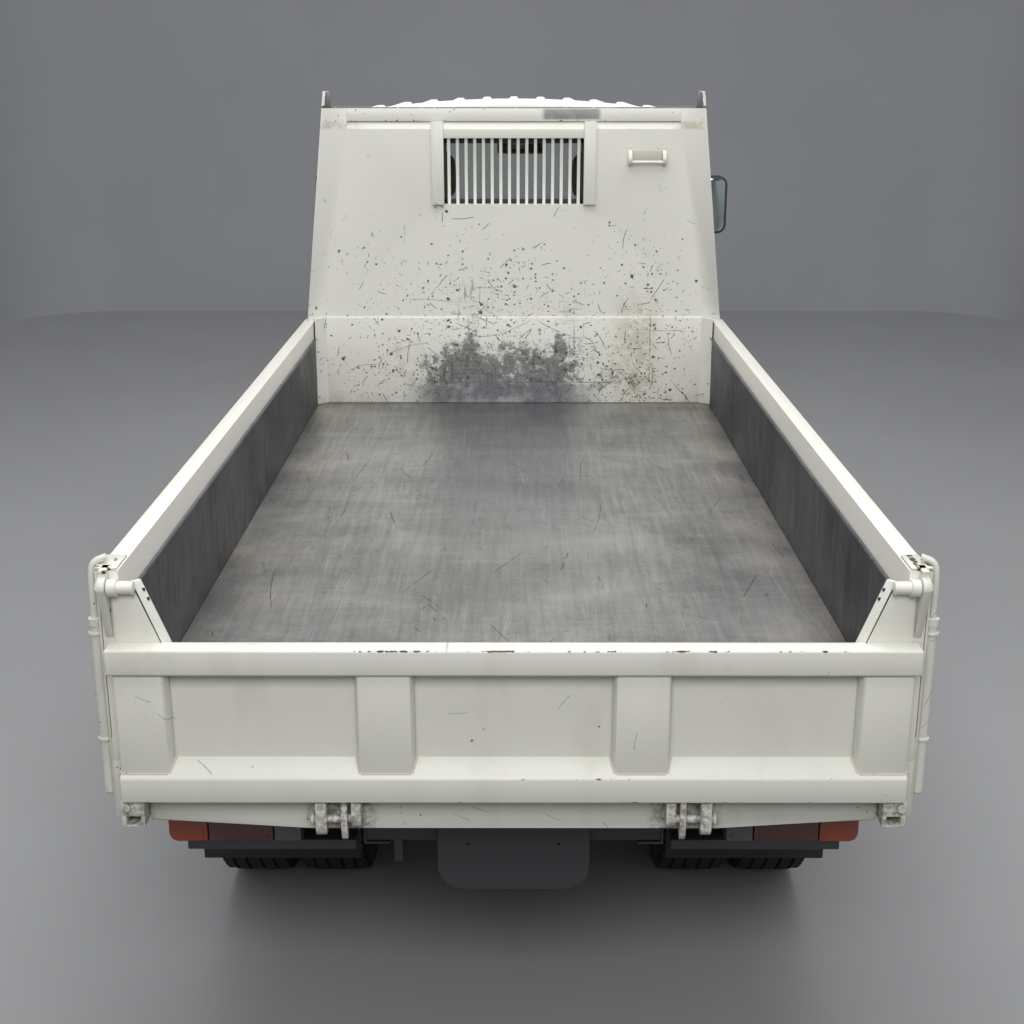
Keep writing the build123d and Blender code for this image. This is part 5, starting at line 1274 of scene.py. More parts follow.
# ------------------------------------------------------------------ load bed
@dataclass
class LoadBed:
    """Floor, wear plates, walls and headboard, with what is fixed to them."""

    frame: Frame
    floor: float = 0.95
    board_y: float = 0.735
    wall: float = 0.848
    hooks: int = 6
    first_hook: Tuple[float, float] = (-2.05, 0.895)
    hook_step: float = 0.52
    reflectors: Tuple[float, float] = (-1.85, -0.25)

    def handle(self) -> None:
        """Grab handle on the headboard: two rounded ears, a bar and a bare plate behind them."""
        low, high, out = self.floor + 0.955, self.floor + 1.015, self.board_y - 0.034
        ears = Mould()
        for x in (0.447, 0.581):
            side = [(self.board_y, low), (out + 0.012, low), (out + 0.003, low + 0.006), (out, low + 0.016),
                    (out, low + 0.026), (out + 0.008, high - 0.016), (self.board_y, high)]
            ears.prism(side, 0, x, x + 0.016, 0.003)
            for z in (low + 0.010, high + 0.004):
                ears.disc((x + 0.008, self.board_y, z), (0, -1, 0), 0.0065, 0.005)
        ears.bar([(0.450, out + 0.011, low + 0.010), (0.594, out + 0.011, low + 0.010)], 0.0068, 14)
        ears.piece("headboard_handle", "bed", Finish.LOCK_WHITE, "bed_white")
        plate = Mould().block((0.463, self.board_y - 0.003, low + 0.004),
                              (0.581, self.board_y + 0.001, high - 0.006))
        plate.piece("headboard_handle_plate", "bed", Finish.BARE_PLATE, "bed_white")

    def board_trim(self) -> None:
        """Bare blocks at the tips of the edge plates, and the frame behind the window bars, made black as painted shade
        for its shadowed lip.
        """
        top = self.floor + 1.171
        blocks = Mould().prism([(0.710, top), (0.7345, top), (0.7285, top + 0.058), (0.709, top + 0.058)], 1,
                               self.board_y + 0.002, self.board_y + 0.030, 0.0015)
        blocks.both().piece("headboard_tip_blocks", "bed", Finish.BARE_STEEL, "steel")
        # Behind the bars the frame is a steel angle in shade; its black rubber finish is painted shade.
        seal, low, high = Mould(), self.floor + 0.802, self.floor + 1.055
        for z in (low, high - 0.019):
            seal.block((-0.274, self.board_y + 0.029, z + 0.0005),
                       (0.274, self.board_y + 0.036, z + 0.0185), 0.001)
        for x in (-0.2745, 0.2655):
            seal.block((x, self.board_y + 0.029, low + 0.001),
                       (x + 0.009, self.board_y + 0.036, high - 0.001), 0.001)
        seal.piece("headboard_window_frame_painted_shade", "bed", Finish.RUBBER, "rubber")

    def rope_hooks(self) -> None:
        """Rope hooks under both walls, and reflectors between them."""
        for sign, name in SIDES:
            stamp = Mould().bar([(-0.004, -0.045, 0.0), (0.012, -0.045, 0.0), (0.026, -0.030, 0.0),
                                 (0.026, 0.030, 0.0),
                                 (0.012, 0.045, 0.0), (-0.004, 0.045, 0.0)], 0.006, 10, 1)
            stamp.side(sign)
            row = Repeat.stamp(stamp, Layout.ROW, self.hooks, (sign * self.wall, *self.first_hook),
                               (0, self.hook_step, 0), Finish.FRAME_WHITE)
            report(joined(f"rope_hooks_{name}", [row]), "bed")
            lens = Mould()
            for y in self.reflectors:
                lens.prism(rounded((y, 0.925), (y + 0.085, 0.955), 0.010), 0, self.wall - 0.001,
                           self.wall + 0.006,
                           0.002)
            lens.side(sign)
            lens.piece(f"side_reflectors_{name}", "bed", Finish.AMBER, "lamp")

    def build(self) -> None:
        """Dress the bed's nodes and add its small parts."""
        soften = self.frame.soften
        soften("bed_floor", Finish.FLOOR_STEEL, 0.0012, 1, other=Finish.FRAME_WHITE,
               where=lambda middle: middle.z < 0.9475)
        soften("bed_liners", Finish.LINER_STEEL, 0.0010, 1, other=Finish.BOARD_WHITE,
               where=lambda middle: middle.y > 0.688 and abs(middle.x) < 0.7995)
        for name in ("left", "right"):
            soften(f"bed_side_{name}", Finish.BED_WHITE, 0.0022)
        soften("headboard", Finish.BOARD_WHITE, 0.0015)
        self.handle()
        self.board_trim()
        self.rope_hooks()


@dataclass
class Tailgate:
    """Pressed gate on its two pins, with rails, ribs, stiles, ears and weld beads."""

    half: float = 0.822
    rail_half: float = 0.834
    back: float = -2.345
    inner: float = -2.295
    top: float = 1.137
    rail_low: float = 1.080
    ledge: float = 0.880
    ledge_out: float = 0.848
    bottom: float = 0.792
    rib_set: float = 0.009
    pin: Tuple[float, float] = (-2.311, 1.260)
    ear_top: float = 1.270
    ear_foot: float = 0.721
    ribs: Tuple[Tuple[float, float, float, float], ...] = (
        (0.204, 0.212, 0.322, 0.330), (0.711, 0.720, 0.8212, 0.8215))

    def panel(self) -> Mould:
        """Skin, rails, sill, ribs and stiles."""
        skin, face = self.inner - 0.008, self.back + self.rib_set
        gate = Mould().block((-self.half, skin, self.bottom + 0.002),
                             (self.half, self.inner - 0.0002, self.top - 0.002), 0.001)
        gate.block((-self.rail_half, self.back, self.rail_low),
                   (self.rail_half, self.inner, self.top), 0.0055, 3)
        sill = [(self.back, self.bottom), (self.inner, self.bottom), (self.inner, self.ledge),
                (skin, self.ledge),
                (self.back, self.ledge_out)]
        gate.prism(sill, 0, -self.half - 0.0004, self.half + 0.0004, 0.005)
        pair = Mould()
        for foot, crest, crest_end, foot_end in self.ribs:
            outline = [(foot, skin - 0.0005), (crest, face), (crest_end, face), (foot_end, skin - 0.0005)]
            pair.prism(outline, 2, self.ledge_out - 0.01, self.rail_low + 0.012, 0.005)
        return gate.merge(pair.both())

    def ears(self) -> Mould:
        """Plates up to the pins, with folded flanges, tubes, bosses and pins."""
        ear, low = Mould(), 1.100
        foot, outer, shoulder, boss = self.ear_foot, 0.818, 1.239, 0.803
        slope = (0.776 - foot) / (1.277 - self.top)
        tip_x = foot + slope * (self.ear_top - self.top)
        plate = [(foot, self.top - 0.004), (outer, self.top - 0.004), (outer, shoulder), (boss, shoulder),
                 (boss, self.ear_top), (tip_x, self.ear_top)]
        ear.prism(plate, 1, self.inner - 0.006, self.inner - 0.0003, 0.0012)
        start = foot - slope * (self.top - low)
        plan = [(0.006, -0.006), (0.0, -0.006), (-0.014, 0.008), (-0.008, 0.014), (0.006, 0.0)]
        rings = [[(x + start + slope * (z - low), y + self.inner, z) for x,
                  y in plan] for z in (low, self.ear_top)]
        ear.loft(rings[0], rings[1], 0.001)
        y, z = self.pin
        boss_and_pin = [(0, 0), (0, 0.013), (0.001, 0.0145), (0.004, 0.0145), (0.005, 0.013), (0.034, 0.013),
                        (0.034, 0.0165), (0.035, 0.018), (0.052, 0.018), (0.053, 0.017), (0.053, 0.010),
                        (0.070, 0.010), (0.070, 0)]
        ear.lathe(boss_and_pin, (0.769, y, z), (1, 0, 0), 28)
        return ear.both()

    def welds(self) -> Mould:
        """Beads where the ribs stand on the ledge and meet the top rail."""
        bead, face = Mould(), self.back + self.rib_set
        for foot, crest, crest_end, foot_end in self.ribs:
            for side, end in ((crest, foot), (crest_end, foot_end)):
                rise = self.ledge_out + (self.ledge - self.ledge_out) * self.rib_set / 0.042
                bead.bar([(side, face + 0.002, rise + 0.001),
                          (end, self.inner - 0.010, self.ledge - 0.001)], 0.0032, 8)
            y, z = face + 0.001, self.ledge_out + 0.007
            bead.bar([(crest + 0.003, y, z), (crest_end - 0.003, y, z)], 0.003, 8)
        return bead.both()

    def build(self) -> None:
        """Make the gate."""
        gate = self.panel().merge(self.ears())
        gate.piece("tailgate_dressed", "gate", Finish.GATE_WHITE, "bed_white", replaces=["tailgate"])
        self.welds().piece("tailgate_welds", "gate", Finish.WELD, "bed_white")
        # Black blocks in the flanges stand for the openings of the slots: painted shade.
        slots = Mould()
        for z in (1.226, 1.246):
            x = self.ear_foot + 0.3929 * (z - self.top) - 0.0075
            slots.block((x - 0.0045, self.inner + 0.0025, z),
                        (x + 0.0025, self.inner + 0.0055, z + 0.007), 0.0005)
        slots.both().piece("tailgate_flange_slots_painted_shade", "gate", Finish.RUBBER, "rubber")


@dataclass
class RearFrame:
    """Rear beam, tube stubs, corner straps, pivot plates, lock levers and hooks."""

    beam: Tuple[float, float] = (0.703, 0.7865)
    back: float = -2.290
    strap: Tuple[float, float] = (0.848, 0.853)
    wall_top: float = 1.290
    pin: Tuple[float, float] = (-2.311, 1.260)
    lever: Tuple[float, float] = (0.867, -2.268)

    def steelwork(self) -> Mould:
        """Tapered beam, its gussets, stubs, straps and pivot plates."""
        low, high = self.beam
        made = Mould().prism([(-0.780, low + 0.019), (-0.440, low), (0.440, low), (0.780, low + 0.019),
                              (0.780, high),
                              (-0.780, high)], 1, self.back, self.back + 0.060, 0.004)
        for x in (-0.52, 0.0, 0.52):
            made.block((x - 0.03, self.back + 0.002, low + 0.02), (x + 0.03, self.back + 0.09, 0.864), 0.002)
        side, foot, front = Mould(), 0.728, self.back - 0.042
        side.block((0.780, front, foot + 0.025), (0.829, self.back + 0.060, high), 0.002)
        side.block((0.780, front, foot), (0.789, self.back, foot + 0.030), 0.002)
        side.block((0.819, front, foot), (0.829, self.back, foot + 0.030), 0.002)
        side.block((0.782, front + 0.001, foot), (0.827, self.back, foot + 0.0035), 0.001)
        side.block((0.782, self.back - 0.004, foot), (0.827, self.back + 0.058, foot + 0.03), 0.002)
        side.disc((0.817, front, high - 0.011), (0, -1, 0), 0.010, 0.010, 0.002)
        side.block((self.strap[0], self.back, foot + 0.04), (self.strap[1], self.back + 0.050, self.wall_top), 0.0012)
        side.block((0.805, self.back + 0.001, foot), (self.strap[1] - 0.0003, self.back + 0.050, 0.865), 0.002)
        y, z = self.pin
        ring = arc((y, z), 0.023, 90, 90, 8)
        ring += [(self.back - 0.002, 1.145), (self.back + 0.001, 1.145), (self.back + 0.001, self.wall_top),
                 (y, self.wall_top)]
        side.prism(ring, 0, 0.824, 0.840, 0.0015)
        side.block((0.807, self.back, self.wall_top), (self.strap[1], self.back + 0.085, self.wall_top + 0.006), 0.0015)
        side.block((0.824, y, self.wall_top - 0.001), (0.840, self.back + 0.02, self.wall_top + 0.006), 0.0015)
        side.disc((0.8395, y, z), (1, 0, 0), 0.0145, 0.006, 0.0015, 6)
        return made.merge(side.both())

    def levers(self) -> Mould:
        """Lock levers that stand outside the corner straps."""
        x, y = self.lever
        made = Mould().lathe([(0, 0), (0, 0.009), (0.004, 0.012), (0.384, 0.012), (0.385, 0.0138),
                              (0.401, 0.0138),
                              (0.402, 0.0075), (0.410, 0.0075), (0.410, 0)], (x, y, 0.778), (0, 0, 1), 20)
        made.bar([(x, y, 1.185), (x, y, 1.272), (0.862, -2.264, 1.300), (0.835, -2.257, 1.309)],
                 0.0075, 12, 2)
        for z in (0.880, 1.120):
            made.block((self.strap[1] - 0.001, y - 0.008, z), (x, y + 0.008, z + 0.024), 0.002)
            made.disc((x, y, z + 0.024), (0, 0, 1), 0.0155, 0.006, 0.0015)
        return made

    def hooks(self) -> Mould:
        """One hook between two lugs, on its pin, under the gate."""
        made, y, z = Mould(), self.back - 0.025, 0.740
        made.lathe([(0, 0), (0, 0.008), (0.001, 0.009), (0.098, 0.009), (0.099, 0.013), (0.104, 0.013),
                    (0.106, 0.011),
                    (0.106, 0)], (0.325, y, z), (1, 0, 0), 20)
        for x0, x1, end in ((0.396, 0.419, 0.724), (0.323, 0.343, 0.743)):
            lug = [(self.back, self.beam[1]), (y - 0.020, self.beam[1]), *arc((y, end), 0.020, 180, 180, 10)]
            made.prism(lug, 0, x0, x1, 0.002)
        claw = [(y - 0.014, self.beam[1] + 0.001), (y - 0.018, z), (y - 0.014, z - 0.030),
                (y - 0.006, z - 0.047),
                (y + 0.003, z - 0.048), (y + 0.008, z - 0.036), (y + 0.012, z), (y + 0.012, z + 0.016),
                (y - 0.002, self.beam[1] + 0.001)]
        made.prism(claw, 0, 0.352, 0.366, 0.003)
        made.block((0.343, y - 0.006, z - 0.006), (0.396, y + 0.006, z + 0.006), 0.002)
        return made

    def build(self) -> None:
        """Make the frame and the locks."""
        self.steelwork().piece("bed_rear_frame_dressed", "bed", Finish.FRAME_WHITE, "bed_white",
                               replaces=["bed_rear_frame"])
        self.levers().merge(self.hooks()).both().piece("gate_locks_dressed", "bed", Finish.LOCK_WHITE, "bed_white",
                                                       replaces=["gate_locks"])


@dataclass
class RearLamps:
    """Three-field rear lamps in black housings, with their screws."""

    x: Tuple[float, float] = (0.483, 0.791)
    z: Tuple[float, float] = (0.570, 0.670)
    face: float = -2.120
    depth: float = 0.055
    fields: Tuple[float, float] = (0.549, 0.699)

    def build(self) -> None:
        """Make both lamps."""
        low, high = (self.x[0], self.z[0]), (self.x[1], self.z[1])
        body = Mould().prism(rounded(low, high, 0.022, corners=(1, 2)), 1, self.face + 0.012,
                             self.face + self.depth,
                             0.003)
        body.both().piece("rear_lamps_housing", "chassis", Finish.BLACK_PLASTIC, "lamp",
                          replaces=["rear_lamps"])
        lens, ends = Mould(), (self.x[0] + 0.002, *self.fields, self.x[1] - 0.002)
        gap = 0.0012
        for i in range(3):
            outline = rounded((ends[i] + gap, self.z[0] + 0.002),
                              (ends[i + 1] - gap, self.z[1] - 0.002), 0.018,
                              corners=(1, 2) if i == 2 else ())
            lens.prism(outline, 1, self.face, self.face + 0.014, 0.003)
        for i in range(3):
            for z in (self.z[0] + 0.014, self.z[1] - 0.014):
                lens.disc((ends[i] + 0.014, self.face + 0.0005, z), (0, -1, 0), 0.0035, 0.002, 0.0005, 10)
        lens.both().piece("rear_lamps_lenses", "chassis", Finish.TAIL_LENS, "lamp")


# ------------------------------------------------------------------ cab
def flank(z: float) -> float:
    """Half width of the cab at a height."""
    return 0.84 - 0.09 * max(0.0, z - 1.34) / 0.731


def nose(x: float, z: float) -> float:
    """Where the cab's front lies at a width and a height."""
    corner = 0.12 - math.sqrt(max(0.0, 0.12 ** 2 - (abs(x) - 0.72) ** 2)) if abs(x) > 0.72 else 0.0
    return 2.300 - 0.045 * (x / 0.843) ** 2 - corner - 0.25 * max(0.0, z - 1.34)


@dataclass
class Cabin:
    """Cab panels, glass, doors and inside."""

    frame: Frame

    def openings(self) -> None:
        """Seals round the windscreen, the rear window and the door windows, and the rain gutters."""
        xs, zs = [0.705 * i / 5 for i in range(-5, 6)], (1.400, 1.595, 1.790, 1.985)
        ring = [(x, zs[0]) for x in xs] + [(xs[-1], z) for z in zs[1:]]
        ring += [(x, zs[-1]) for x in reversed(xs[:-1])] + [(xs[0], z) for z in reversed(zs[1:-1])]
        front = Piping.run([(x, nose(x, z) + 0.002, z) for x, z in ring], 0.010, Finish.RUBBER, 0.05, True)
        back = Piping.run([(x, 0.869, z) for x, z in ((-0.525, 1.635), (0.525, 1.635), (0.525, 1.99), (-0.525, 1.99))],
                          0.011, Finish.RUBBER, 0.05, True)
        report(joined("window_seals", [front, back]), "cab")
        for sign, name in SIDES:
            corners = ((1.160, 1.400), (2.000, 1.400), (1.985, 1.470), (1.905, 1.940), (1.160, 1.940))
            ring = [(sign * (flank(z) + 0.001), y, z) for y, z in corners]
            seal = Piping.run(ring, 0.007, Finish.RUBBER, 0.03, True)
            report(joined(f"door_window_seal_{name}", [seal]), f"door_{name}_body")
            gutter = [(sign * (flank(z) + 0.004), y, z) for y,
                      z in ((0.90, 2.012), (1.55, 2.016), (1.90, 2.008))]
            report(joined(f"rain_gutter_{name}", [Piping.run(gutter, 0.007, Finish.CAB_WHITE)]),
                   "cab")

    def handles(self) -> None:
        """Door handles with their cups and locks."""
        for sign, name in SIDES:
            x = flank(1.28)
            cup = Mould().prism(rounded((1.120, 1.255), (1.262, 1.318), 0.012), 0, x - 0.001,
                                x + 0.0035, 0.001)
            cup.side(sign)
            cup.piece(f"door_handle_cup_{name}", f"door_{name}_body", Finish.BLACK_PLASTIC, "trim")
            grip = Mould().prism(rounded((1.130, 1.285), (1.252, 1.310), 0.010), 0, x + 0.004,
                                 x + 0.016, 0.004)
            grip.block((x, 1.133, 1.289), (x + 0.006, 1.150, 1.306)).block((x, 1.232, 1.289), (x + 0.006, 1.249, 1.306))
            grip.disc((x - 0.001, 1.19, 1.215), (1, 0, 0), 0.012, 0.006, 0.002, 32)
            grip.side(sign)
            grip.piece(f"door_handle_{name}", f"door_{name}_body", Finish.BLACK_PLASTIC, "trim")

    def mirrors(self) -> None:
        """Right mirror opened out, left one folded in, and the mirror inside, all on their stays."""
        glass, shell = Mould(), Mould()
        head = rounded((0.910, 1.476), (1.060, 1.757), 0.042, 6)
        face = rounded((0.921, 1.487), (1.049, 1.746), 0.033, 6)
        shell.prism(head, 1, 2.232, 2.286, 0.012)
        glass.prism(face, 1, 2.2295, 2.233, 0.001)
        stays = [[(0.985, 2.262, 1.530), (0.900, 2.235, 1.480), (0.812, 2.150, 1.452)],
                 [(0.985, 2.262, 1.735), (0.880, 2.180, 1.850), (0.715, 2.035, 1.905)]]
        for path in stays:
            shell.bar(path, 0.009, 12, 2)
            shell.lathe([(0, 0), (0, 0.022), (0.004, 0.022), (0.010, 0.014), (0.010, 0)],
                        (flank(path[-1][2]) - 0.002, path[-1][1], path[-1][2]), (1, 0, 0), 18)
        folded, pane = Mould(), Mould()
        folded.prism(rounded((-0.075, 1.476), (0.075, 1.757), 0.042, 6), 1, -0.027, 0.027, 0.012)
        pane.prism(rounded((-0.064, 1.487), (0.064, 1.746), 0.033, 6), 1, -0.030, -0.026, 0.001)
        turn = Matrix.Translation((-0.9455, 2.205, 0.0)) @ Matrix.Rotation(math.radians(-78), 4, "Z")
        for mould in (folded, pane):
            bmesh.ops.transform(mould.mesh, matrix=turn, verts=mould.mesh.verts)
        for path in stays:
            bent = [(-path[2][0], path[2][1], path[2][2]), (-0.885, 2.20, path[1][2]),
                    (-0.936, 2.205, path[0][2])]
            folded.bar(bent, 0.009, 12, 2)
        shell.merge(folded)
        shell.prism(rounded((-0.080, 1.872), (0.150, 1.950), 0.014, 4), 1, 2.086, 2.103, 0.005)
        shell.bar([(0.035, 2.098, 1.930), (0.035, 2.118, 1.972)], 0.008)
        glass.prism(rounded((-0.074, 1.878), (0.144, 1.944), 0.011, 4), 1, 2.0845, 2.087, 0.0005)
        shell.piece("mirrors_dressed", "cab", Finish.BLACK_PLASTIC, "black_plastic", replaces=["mirrors"])
        glass.merge(pane).piece("mirror_faces", "cab", Finish.MIRROR, "chrome")

    def seats(self) -> None:
        """Three crowned seats with sewn channels, and two head rests."""
        for name, x, half, top in (("left", -0.405, 0.220, 1.735), ("middle", 0.0, 0.150, 1.555),
                                   ("right", 0.405, 0.220, 1.735)):
            seams = (x - half * 0.55, x + half * 0.55)
            base = Mould().cushion((x, 1.445, 1.118), (half, 0.238, 0.056), 0.045, 0.016, 2.0, seams)
            rise = (top - 1.075) / 2
            middle = (x, 1.152 - rise * 0.13, 1.075 + rise)
            parts = [base, Mould().cushion(middle, (half, 0.055, rise), 0.050, 0.014, 7.5, seams)]
            if name != "middle":
                parts.append(Mould().cushion((x, 1.075, 1.838), (0.152, 0.045, 0.096), 0.042, 0.012, 6.0))
            for part, kind in zip(parts, ("cushion", "back", "head_rest")):
                made = part.piece(f"seat_{name}_{kind}", "cab", Finish.SEAT_CLOTH, "seat", 60.0,
                                  ["seats"] if (name, kind) == ("middle", "cushion") else ())
        posts = Mould()
        for x in (-0.465, -0.345, 0.345, 0.465):
            posts.bar([(x, 1.078, 1.700), (x, 1.075, 1.770)], 0.0065)
        posts.piece("head_rest_posts", "cab", Finish.CHROME, "chrome")

    def front(self) -> None:
        """Wipers, cowl slots, headlamp bowls, fog lamps, side repeaters and bumper bolts."""
        wipers = Mould()
        for x in (-0.30, 0.22):
            foot = (x, nose(x, 1.36) + 0.014, 1.368)
            tip = (x + 0.33, nose(x + 0.33, 1.47) + 0.016, 1.47)
            wipers.bar([foot, tip], 0.005, 8)
            wipers.bar([(x + 0.10, nose(x + 0.10, 1.425) + 0.013, 1.425),
                        (x + 0.33, nose(x + 0.33, 1.463) + 0.013, 1.463),
                        (x + 0.46, nose(x + 0.46, 1.475) + 0.013, 1.475)], 0.0055, 8)
            wipers.lathe([(0, 0), (0, 0.016), (0.012, 0.014), (0.016, 0.008), (0.016, 0)],
                         (x, nose(x, 1.36) - 0.001, 1.366), (0, 1, 0), 16)
        wipers.piece("wipers", "cab", Finish.BLACK_PLASTIC, "black_plastic")
        parts = [Repeat.stamp(Mould().block((-0.011, -0.001, -0.003), (0.011, 0.003, 0.003), 0.001),
                              Layout.ROW, 14,
                              (sign * 0.08, nose(sign * 0.2, 1.30) - 0.001, 1.322), (sign * 0.016, 0, 0),
                              Finish.BLACK_PLASTIC) for sign in (-1, 1)]
        report(joined("cowl_slots", parts), "cab")
        bowls = Mould()
        for x, radius in ((0.632, 0.058), (0.735, 0.045)):
            bowl = [(0, 0), (0, 0.012), (0.004, 0.02), (0.026, radius * 0.8), (0.034, radius),
                    (0.036, radius),
                    (0.030, radius * 0.85), (-0.004, 0.014), (-0.004, 0)]
            bowls.lathe(bowl, (x, nose(x, 0.79) - 0.058, 0.79), (0, 1, 0), 28)
        bowls.both().piece("headlamp_bowls", "cab", Finish.CHROME, "chrome")
        x, z, rim_y, lens_y = 0.55, 0.49, 2.3415, 2.3430
        fog = Mould().lathe([(0, 0), (0, 0.052), (0.006, 0.052), (0.008, 0.048), (0.005, 0.044), (0.005, 0)],
                            (x, rim_y, z), (0, 1, 0), 28)
        fog.both().piece("fog_lamp_rims", "chassis", Finish.BLACK_PLASTIC, "black_plastic")
        lens = Mould().lathe([(0, 0), (0, 0.043), (0.003, 0.043), (0.007, 0.030), (0.009, 0.0)],
                             (x, lens_y, z),
                             (0, 1, 0), 28)
        lens.both().piece("fog_lamp_lenses", "chassis", Finish.LENS, "headlamp")
        side = Mould().prism(rounded((2.128, 1.020), (2.168, 1.046), 0.010), 0, 0.838, 0.849, 0.003)
        side.both().piece("side_repeaters", "cab", Finish.AMBER, "lamp")
        row = bolt_row((0.011, 0.004, 0.008, 0.006), (0, 1, 0), 12, 4, (-0.15, 2.3425, 0.555), (0.10, 0, 0),
                       Finish.CHROME)
        report(joined("bumper_bolts", [row]), "chassis")

    def build(self) -> None:
        """Dress the cab."""
        for name in ("cab_front", "cab_back", "cab_side_left", "cab_side_right", "door_left", "door_right"):
            self.frame.soften(name, Finish.CAB_WHITE, 0.0022)
        # The roof's lighter white is painted light for its lit top.
        self.frame.soften("cab_roof", Finish.ROOF_WHITE_PAINTED_LIGHT, 0.003, 3)
        self.frame.paint(Finish.GREY_TRIM, "cab_floor")
        self.frame.soften("dashboard", Finish.GREY_TRIM, 0.002)
        self.frame.paint(Finish.GLASS, "cab_glass", "door_glass_left", "door_glass_right")
        self.frame.soften("headlamps", Finish.LENS, 0.002)
        self.frame.soften("grille", Finish.BLACK_PLASTIC, 0.0015)
        self.openings()
        self.handles()
        self.mirrors()
        self.seats()
        self.front()


# ------------------------------------------------------------------ chassis
@dataclass
class Chassis:
    """Frame, running gear and the parts that hang on them."""

    frame: Frame

    def build(self) -> None:
        """Dress the chassis."""
        black = ("frame_rails", "frame_crossmembers", "front_axle", "rear_axle", "leaf_springs",
                 "battery_box",
                 "rear_lamp_bracket", "propeller_shaft", "hoist_cylinder", "tie_rod")
        for name in black:
            self.frame.soften(name, Finish.CHASSIS, 0.0015, 1)
        for name in ("engine_block", "knuckle_left", "knuckle_right"):
            self.frame.soften(name, Finish.CASTING, 0.003, 1)
        self.frame.soften("front_bumper", Finish.CAB_WHITE, 0.0018)
        self.frame.soften("fuel_tank", Finish.TANK, 0.002)
        self.frame.soften("exhaust", Finish.RUST, 0.002)
        self.frame.soften("mudflaps", Finish.RUBBER, 0.0015, 1)
        self.frame.paint(Finish.CHROME, "hoist_rod")
        self.bolts()
        self.tank()
        self.battery()

    def bolts(self) -> None:
        """Bolt rows along the rails and on the mudflap bars."""
        rows = [bolt_row((0.011, 0.005, 0.009, 0.007), (sign, 0, 0), 6, 15,
                         (sign * 0.3615, -2.05, z), (0, 0.27, 0),
                         Finish.ZINC) for sign in (-1, 1) for z in (0.575, 0.655)]
        report(joined("rail_bolts", rows), "chassis")
        flaps = [bolt_row((0.009, 0.004, 0.006, 0.006), (0, -1, 0), 6, 4, (sign * 0.44, -1.6525, 0.675),
                          (sign * 0.11, 0, 0), Finish.ZINC) for sign in (-1, 1)]
        report(joined("mudflap_bolts", flaps), "chassis")

    def tank(self) -> None:
        """Tank straps with their bolts, and the grip on the cap."""
        straps = []
        for y in (-0.52, -0.16):
            band = Mould().prism([(0.397, 0.398), (0.393, 0.396), (0.792, 0.3965), (0.7925, 0.398),
                                  (0.7925, 0.692),
                                  (0.789, 0.6925), (0.789, 0.399)], 1, y, y + 0.032, 0.001)
            straps.append(band.disc((0.7915, y + 0.016, 0.655), (1, 0, 0), 0.009, 0.008, 0.002, 6))
        straps[0].merge(straps[1]).piece("tank_straps", "chassis", Finish.CHASSIS, "chassis_black")
        grip = Mould().block((0.810, -0.135, 0.604), (0.817, -0.085, 0.616), 0.003)
        grip.piece("tank_cap_grip", "chassis", Finish.BLACK_PLASTIC, "black_plastic")

    def battery(self) -> None:
        """Ribs and latches on the battery box's outer face."""
        cover = Mould()
        for y in (0.24, 0.34, 0.44, 0.54):
            cover.block((-0.7985, y, 0.455), (-0.795, y + 0.03, 0.640), 0.0015)
        for y in (0.21, 0.56):
            cover.prism(rounded((y, 0.650), (y + 0.028, 0.672), 0.006), 0, -0.803, -0.795, 0.002)
        cover.piece("battery_box_ribs", "chassis", Finish.CHASSIS, "chassis_black")


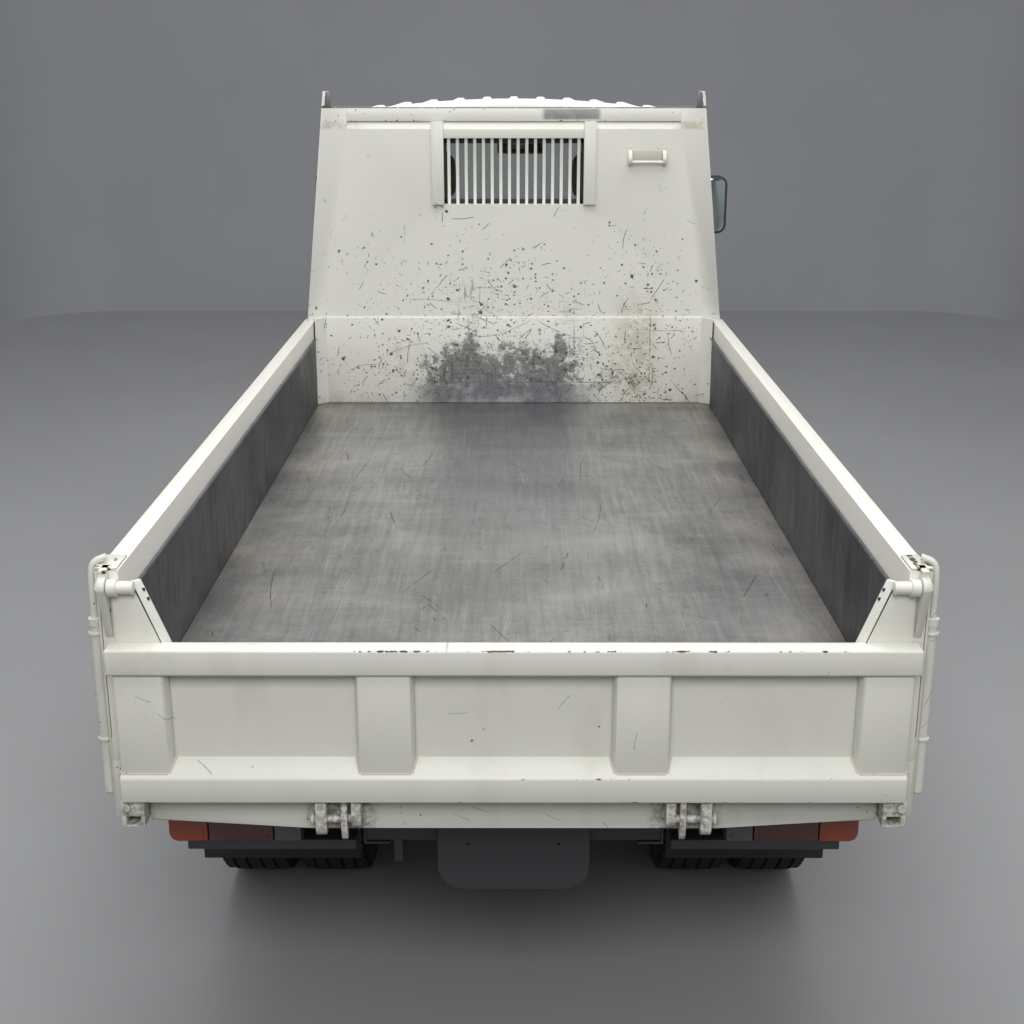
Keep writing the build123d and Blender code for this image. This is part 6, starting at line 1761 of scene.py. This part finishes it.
# ------------------------------------------------------------------ studio
@dataclass
class Studio:
    """Floor, backdrop, lights and camera; the floor reaches apron times as far as the room."""

    eye: Point = (0.0, -5.033, 2.264)
    pitch: float = 17.2
    yaw: float = 0.07
    focal: float = 50.34
    half: float = 4.75
    reach: float = 8.95
    corner: float = 1.0
    wall: float = 12.0
    apron: float = 4.0
    daylight: Colour = (0.97, 0.98, 1.0)
    strength: float = 0.42
    sensor: float = 36.0

    def surface(self, name: str, colour: Colour, bounce: Colour) -> bpy.types.Material:
        """Plain matt material for the floor or the wall; light that it sends back to the truck is dimmer."""
        s = Shader(name)
        camera = s.node("ShaderNodeLightPath", output="Is Camera Ray")
        seen = camera.most(camera.also("Is Glossy Ray")).most(camera.also("Is Transmission Ray"))
        behind = s.node("ShaderNodeNewGeometry", output="Backfacing")
        uneven = s.noise(0.8, 4.0, 0.6) * 0.12 + 0.94
        paint = s.mix(uneven.rise(0.96, 1.05), toned(colour, 0.96), toned(colour, 1.04))
        return s.done(Base_Color=s.mix(seen, bounce, paint), Roughness=0.7, Specular_IOR_Level=0.2,
                      Alpha=1.0 - behind)

    def room_meshes(self) -> None:
        """Floor, and walls that stand on it."""
        floor = bmesh.new()
        bmesh.ops.create_circle(floor, cap_ends=True, segments=96, radius=self.reach * self.apron)
        shell = bmesh.new()
        outline = rounded((-self.half, -self.reach), (self.half, self.reach), self.corner, 16)
        foot, top = ([shell.verts.new((x, y, z)) for x, y in outline] for z in (0.0, self.wall))
        for i in range(len(outline)):
            j = (i + 1) % len(outline)
            shell.faces.new([foot[j], foot[i], top[i], top[j]])
        for name, mesh, colour, bounce in (
                ("studio_floor", floor, (0.29, 0.292, 0.296), (0.06, 0.06, 0.06)),
                ("studio_wall", shell, (0.42, 0.43, 0.455), (0.42, 0.43, 0.455))):
            for face in mesh.faces:
                face.smooth = True
            data = bpy.data.meshes.new(name)
            mesh.to_mesh(data)
            mesh.free()
            data.materials.append(self.surface(name, colour, bounce))
            made = linked(name, data)
            if name == "studio_wall":
                made.visible_diffuse = made.visible_shadow = False

    def lamp(self, name: str, place: Point, target: Point, size: Tuple[float, float], power: float) -> None:
        """Soft area lamp."""
        data = bpy.data.lights.new(name, "AREA")
        data.shape = "RECTANGLE"
        data.size, data.size_y = size
        data.energy = power
        made = linked(name, data)
        made.location = place
        made.rotation_euler = (Vector(target) - Vector(place)).to_track_quat("-Z", "Y").to_euler()

    def build(self) -> None:
        """Set up the studio."""
        self.room_meshes()
        world = bpy.data.worlds.new("studio")
        bpy.context.scene.world = world
        world.use_nodes = True
        back = world.node_tree.nodes["Background"]
        back.inputs["Color"].default_value = (*self.daylight, 1.0)
        back.inputs["Strength"].default_value = self.strength
        self.lamp("top_softbox", (0.0, -0.3, 5.8), (0, -0.3, 0), (4.5, 8.0), 330.0)
        self.lamp("rear_softbox", (0.0, -7.6, 5.4), (0, -2.0, 0.9), (4.5, 2.5), 250.0)
        camera = bpy.data.cameras.new("camera")
        camera.lens, camera.sensor_width = self.focal, self.sensor
        made = linked("camera", camera)
        made.location = self.eye
        made.rotation_euler = (math.radians(90 - self.pitch), 0.0, math.radians(self.yaw))
        scene = bpy.context.scene
        scene.camera = made
        scene.view_settings.view_transform = "Standard"


def main() -> None:
    """Build the truck's looks, piece by piece, in its studio."""
    logging.basicConfig(level=logging.INFO, format="%(name)s: %(message)s")
    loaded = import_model()
    frame = Frame(loaded["nodes"], loaded["record"])
    for builder in (Studio(), LoadBed(frame), Tailgate(), RearFrame(), RearLamps(), Cabin(frame),
                    Chassis(frame),
                    Wheels(frame)):
        builder.build()
        LOG.info("%s done", type(builder).__name__)


if __name__ == "__main__":
    main()
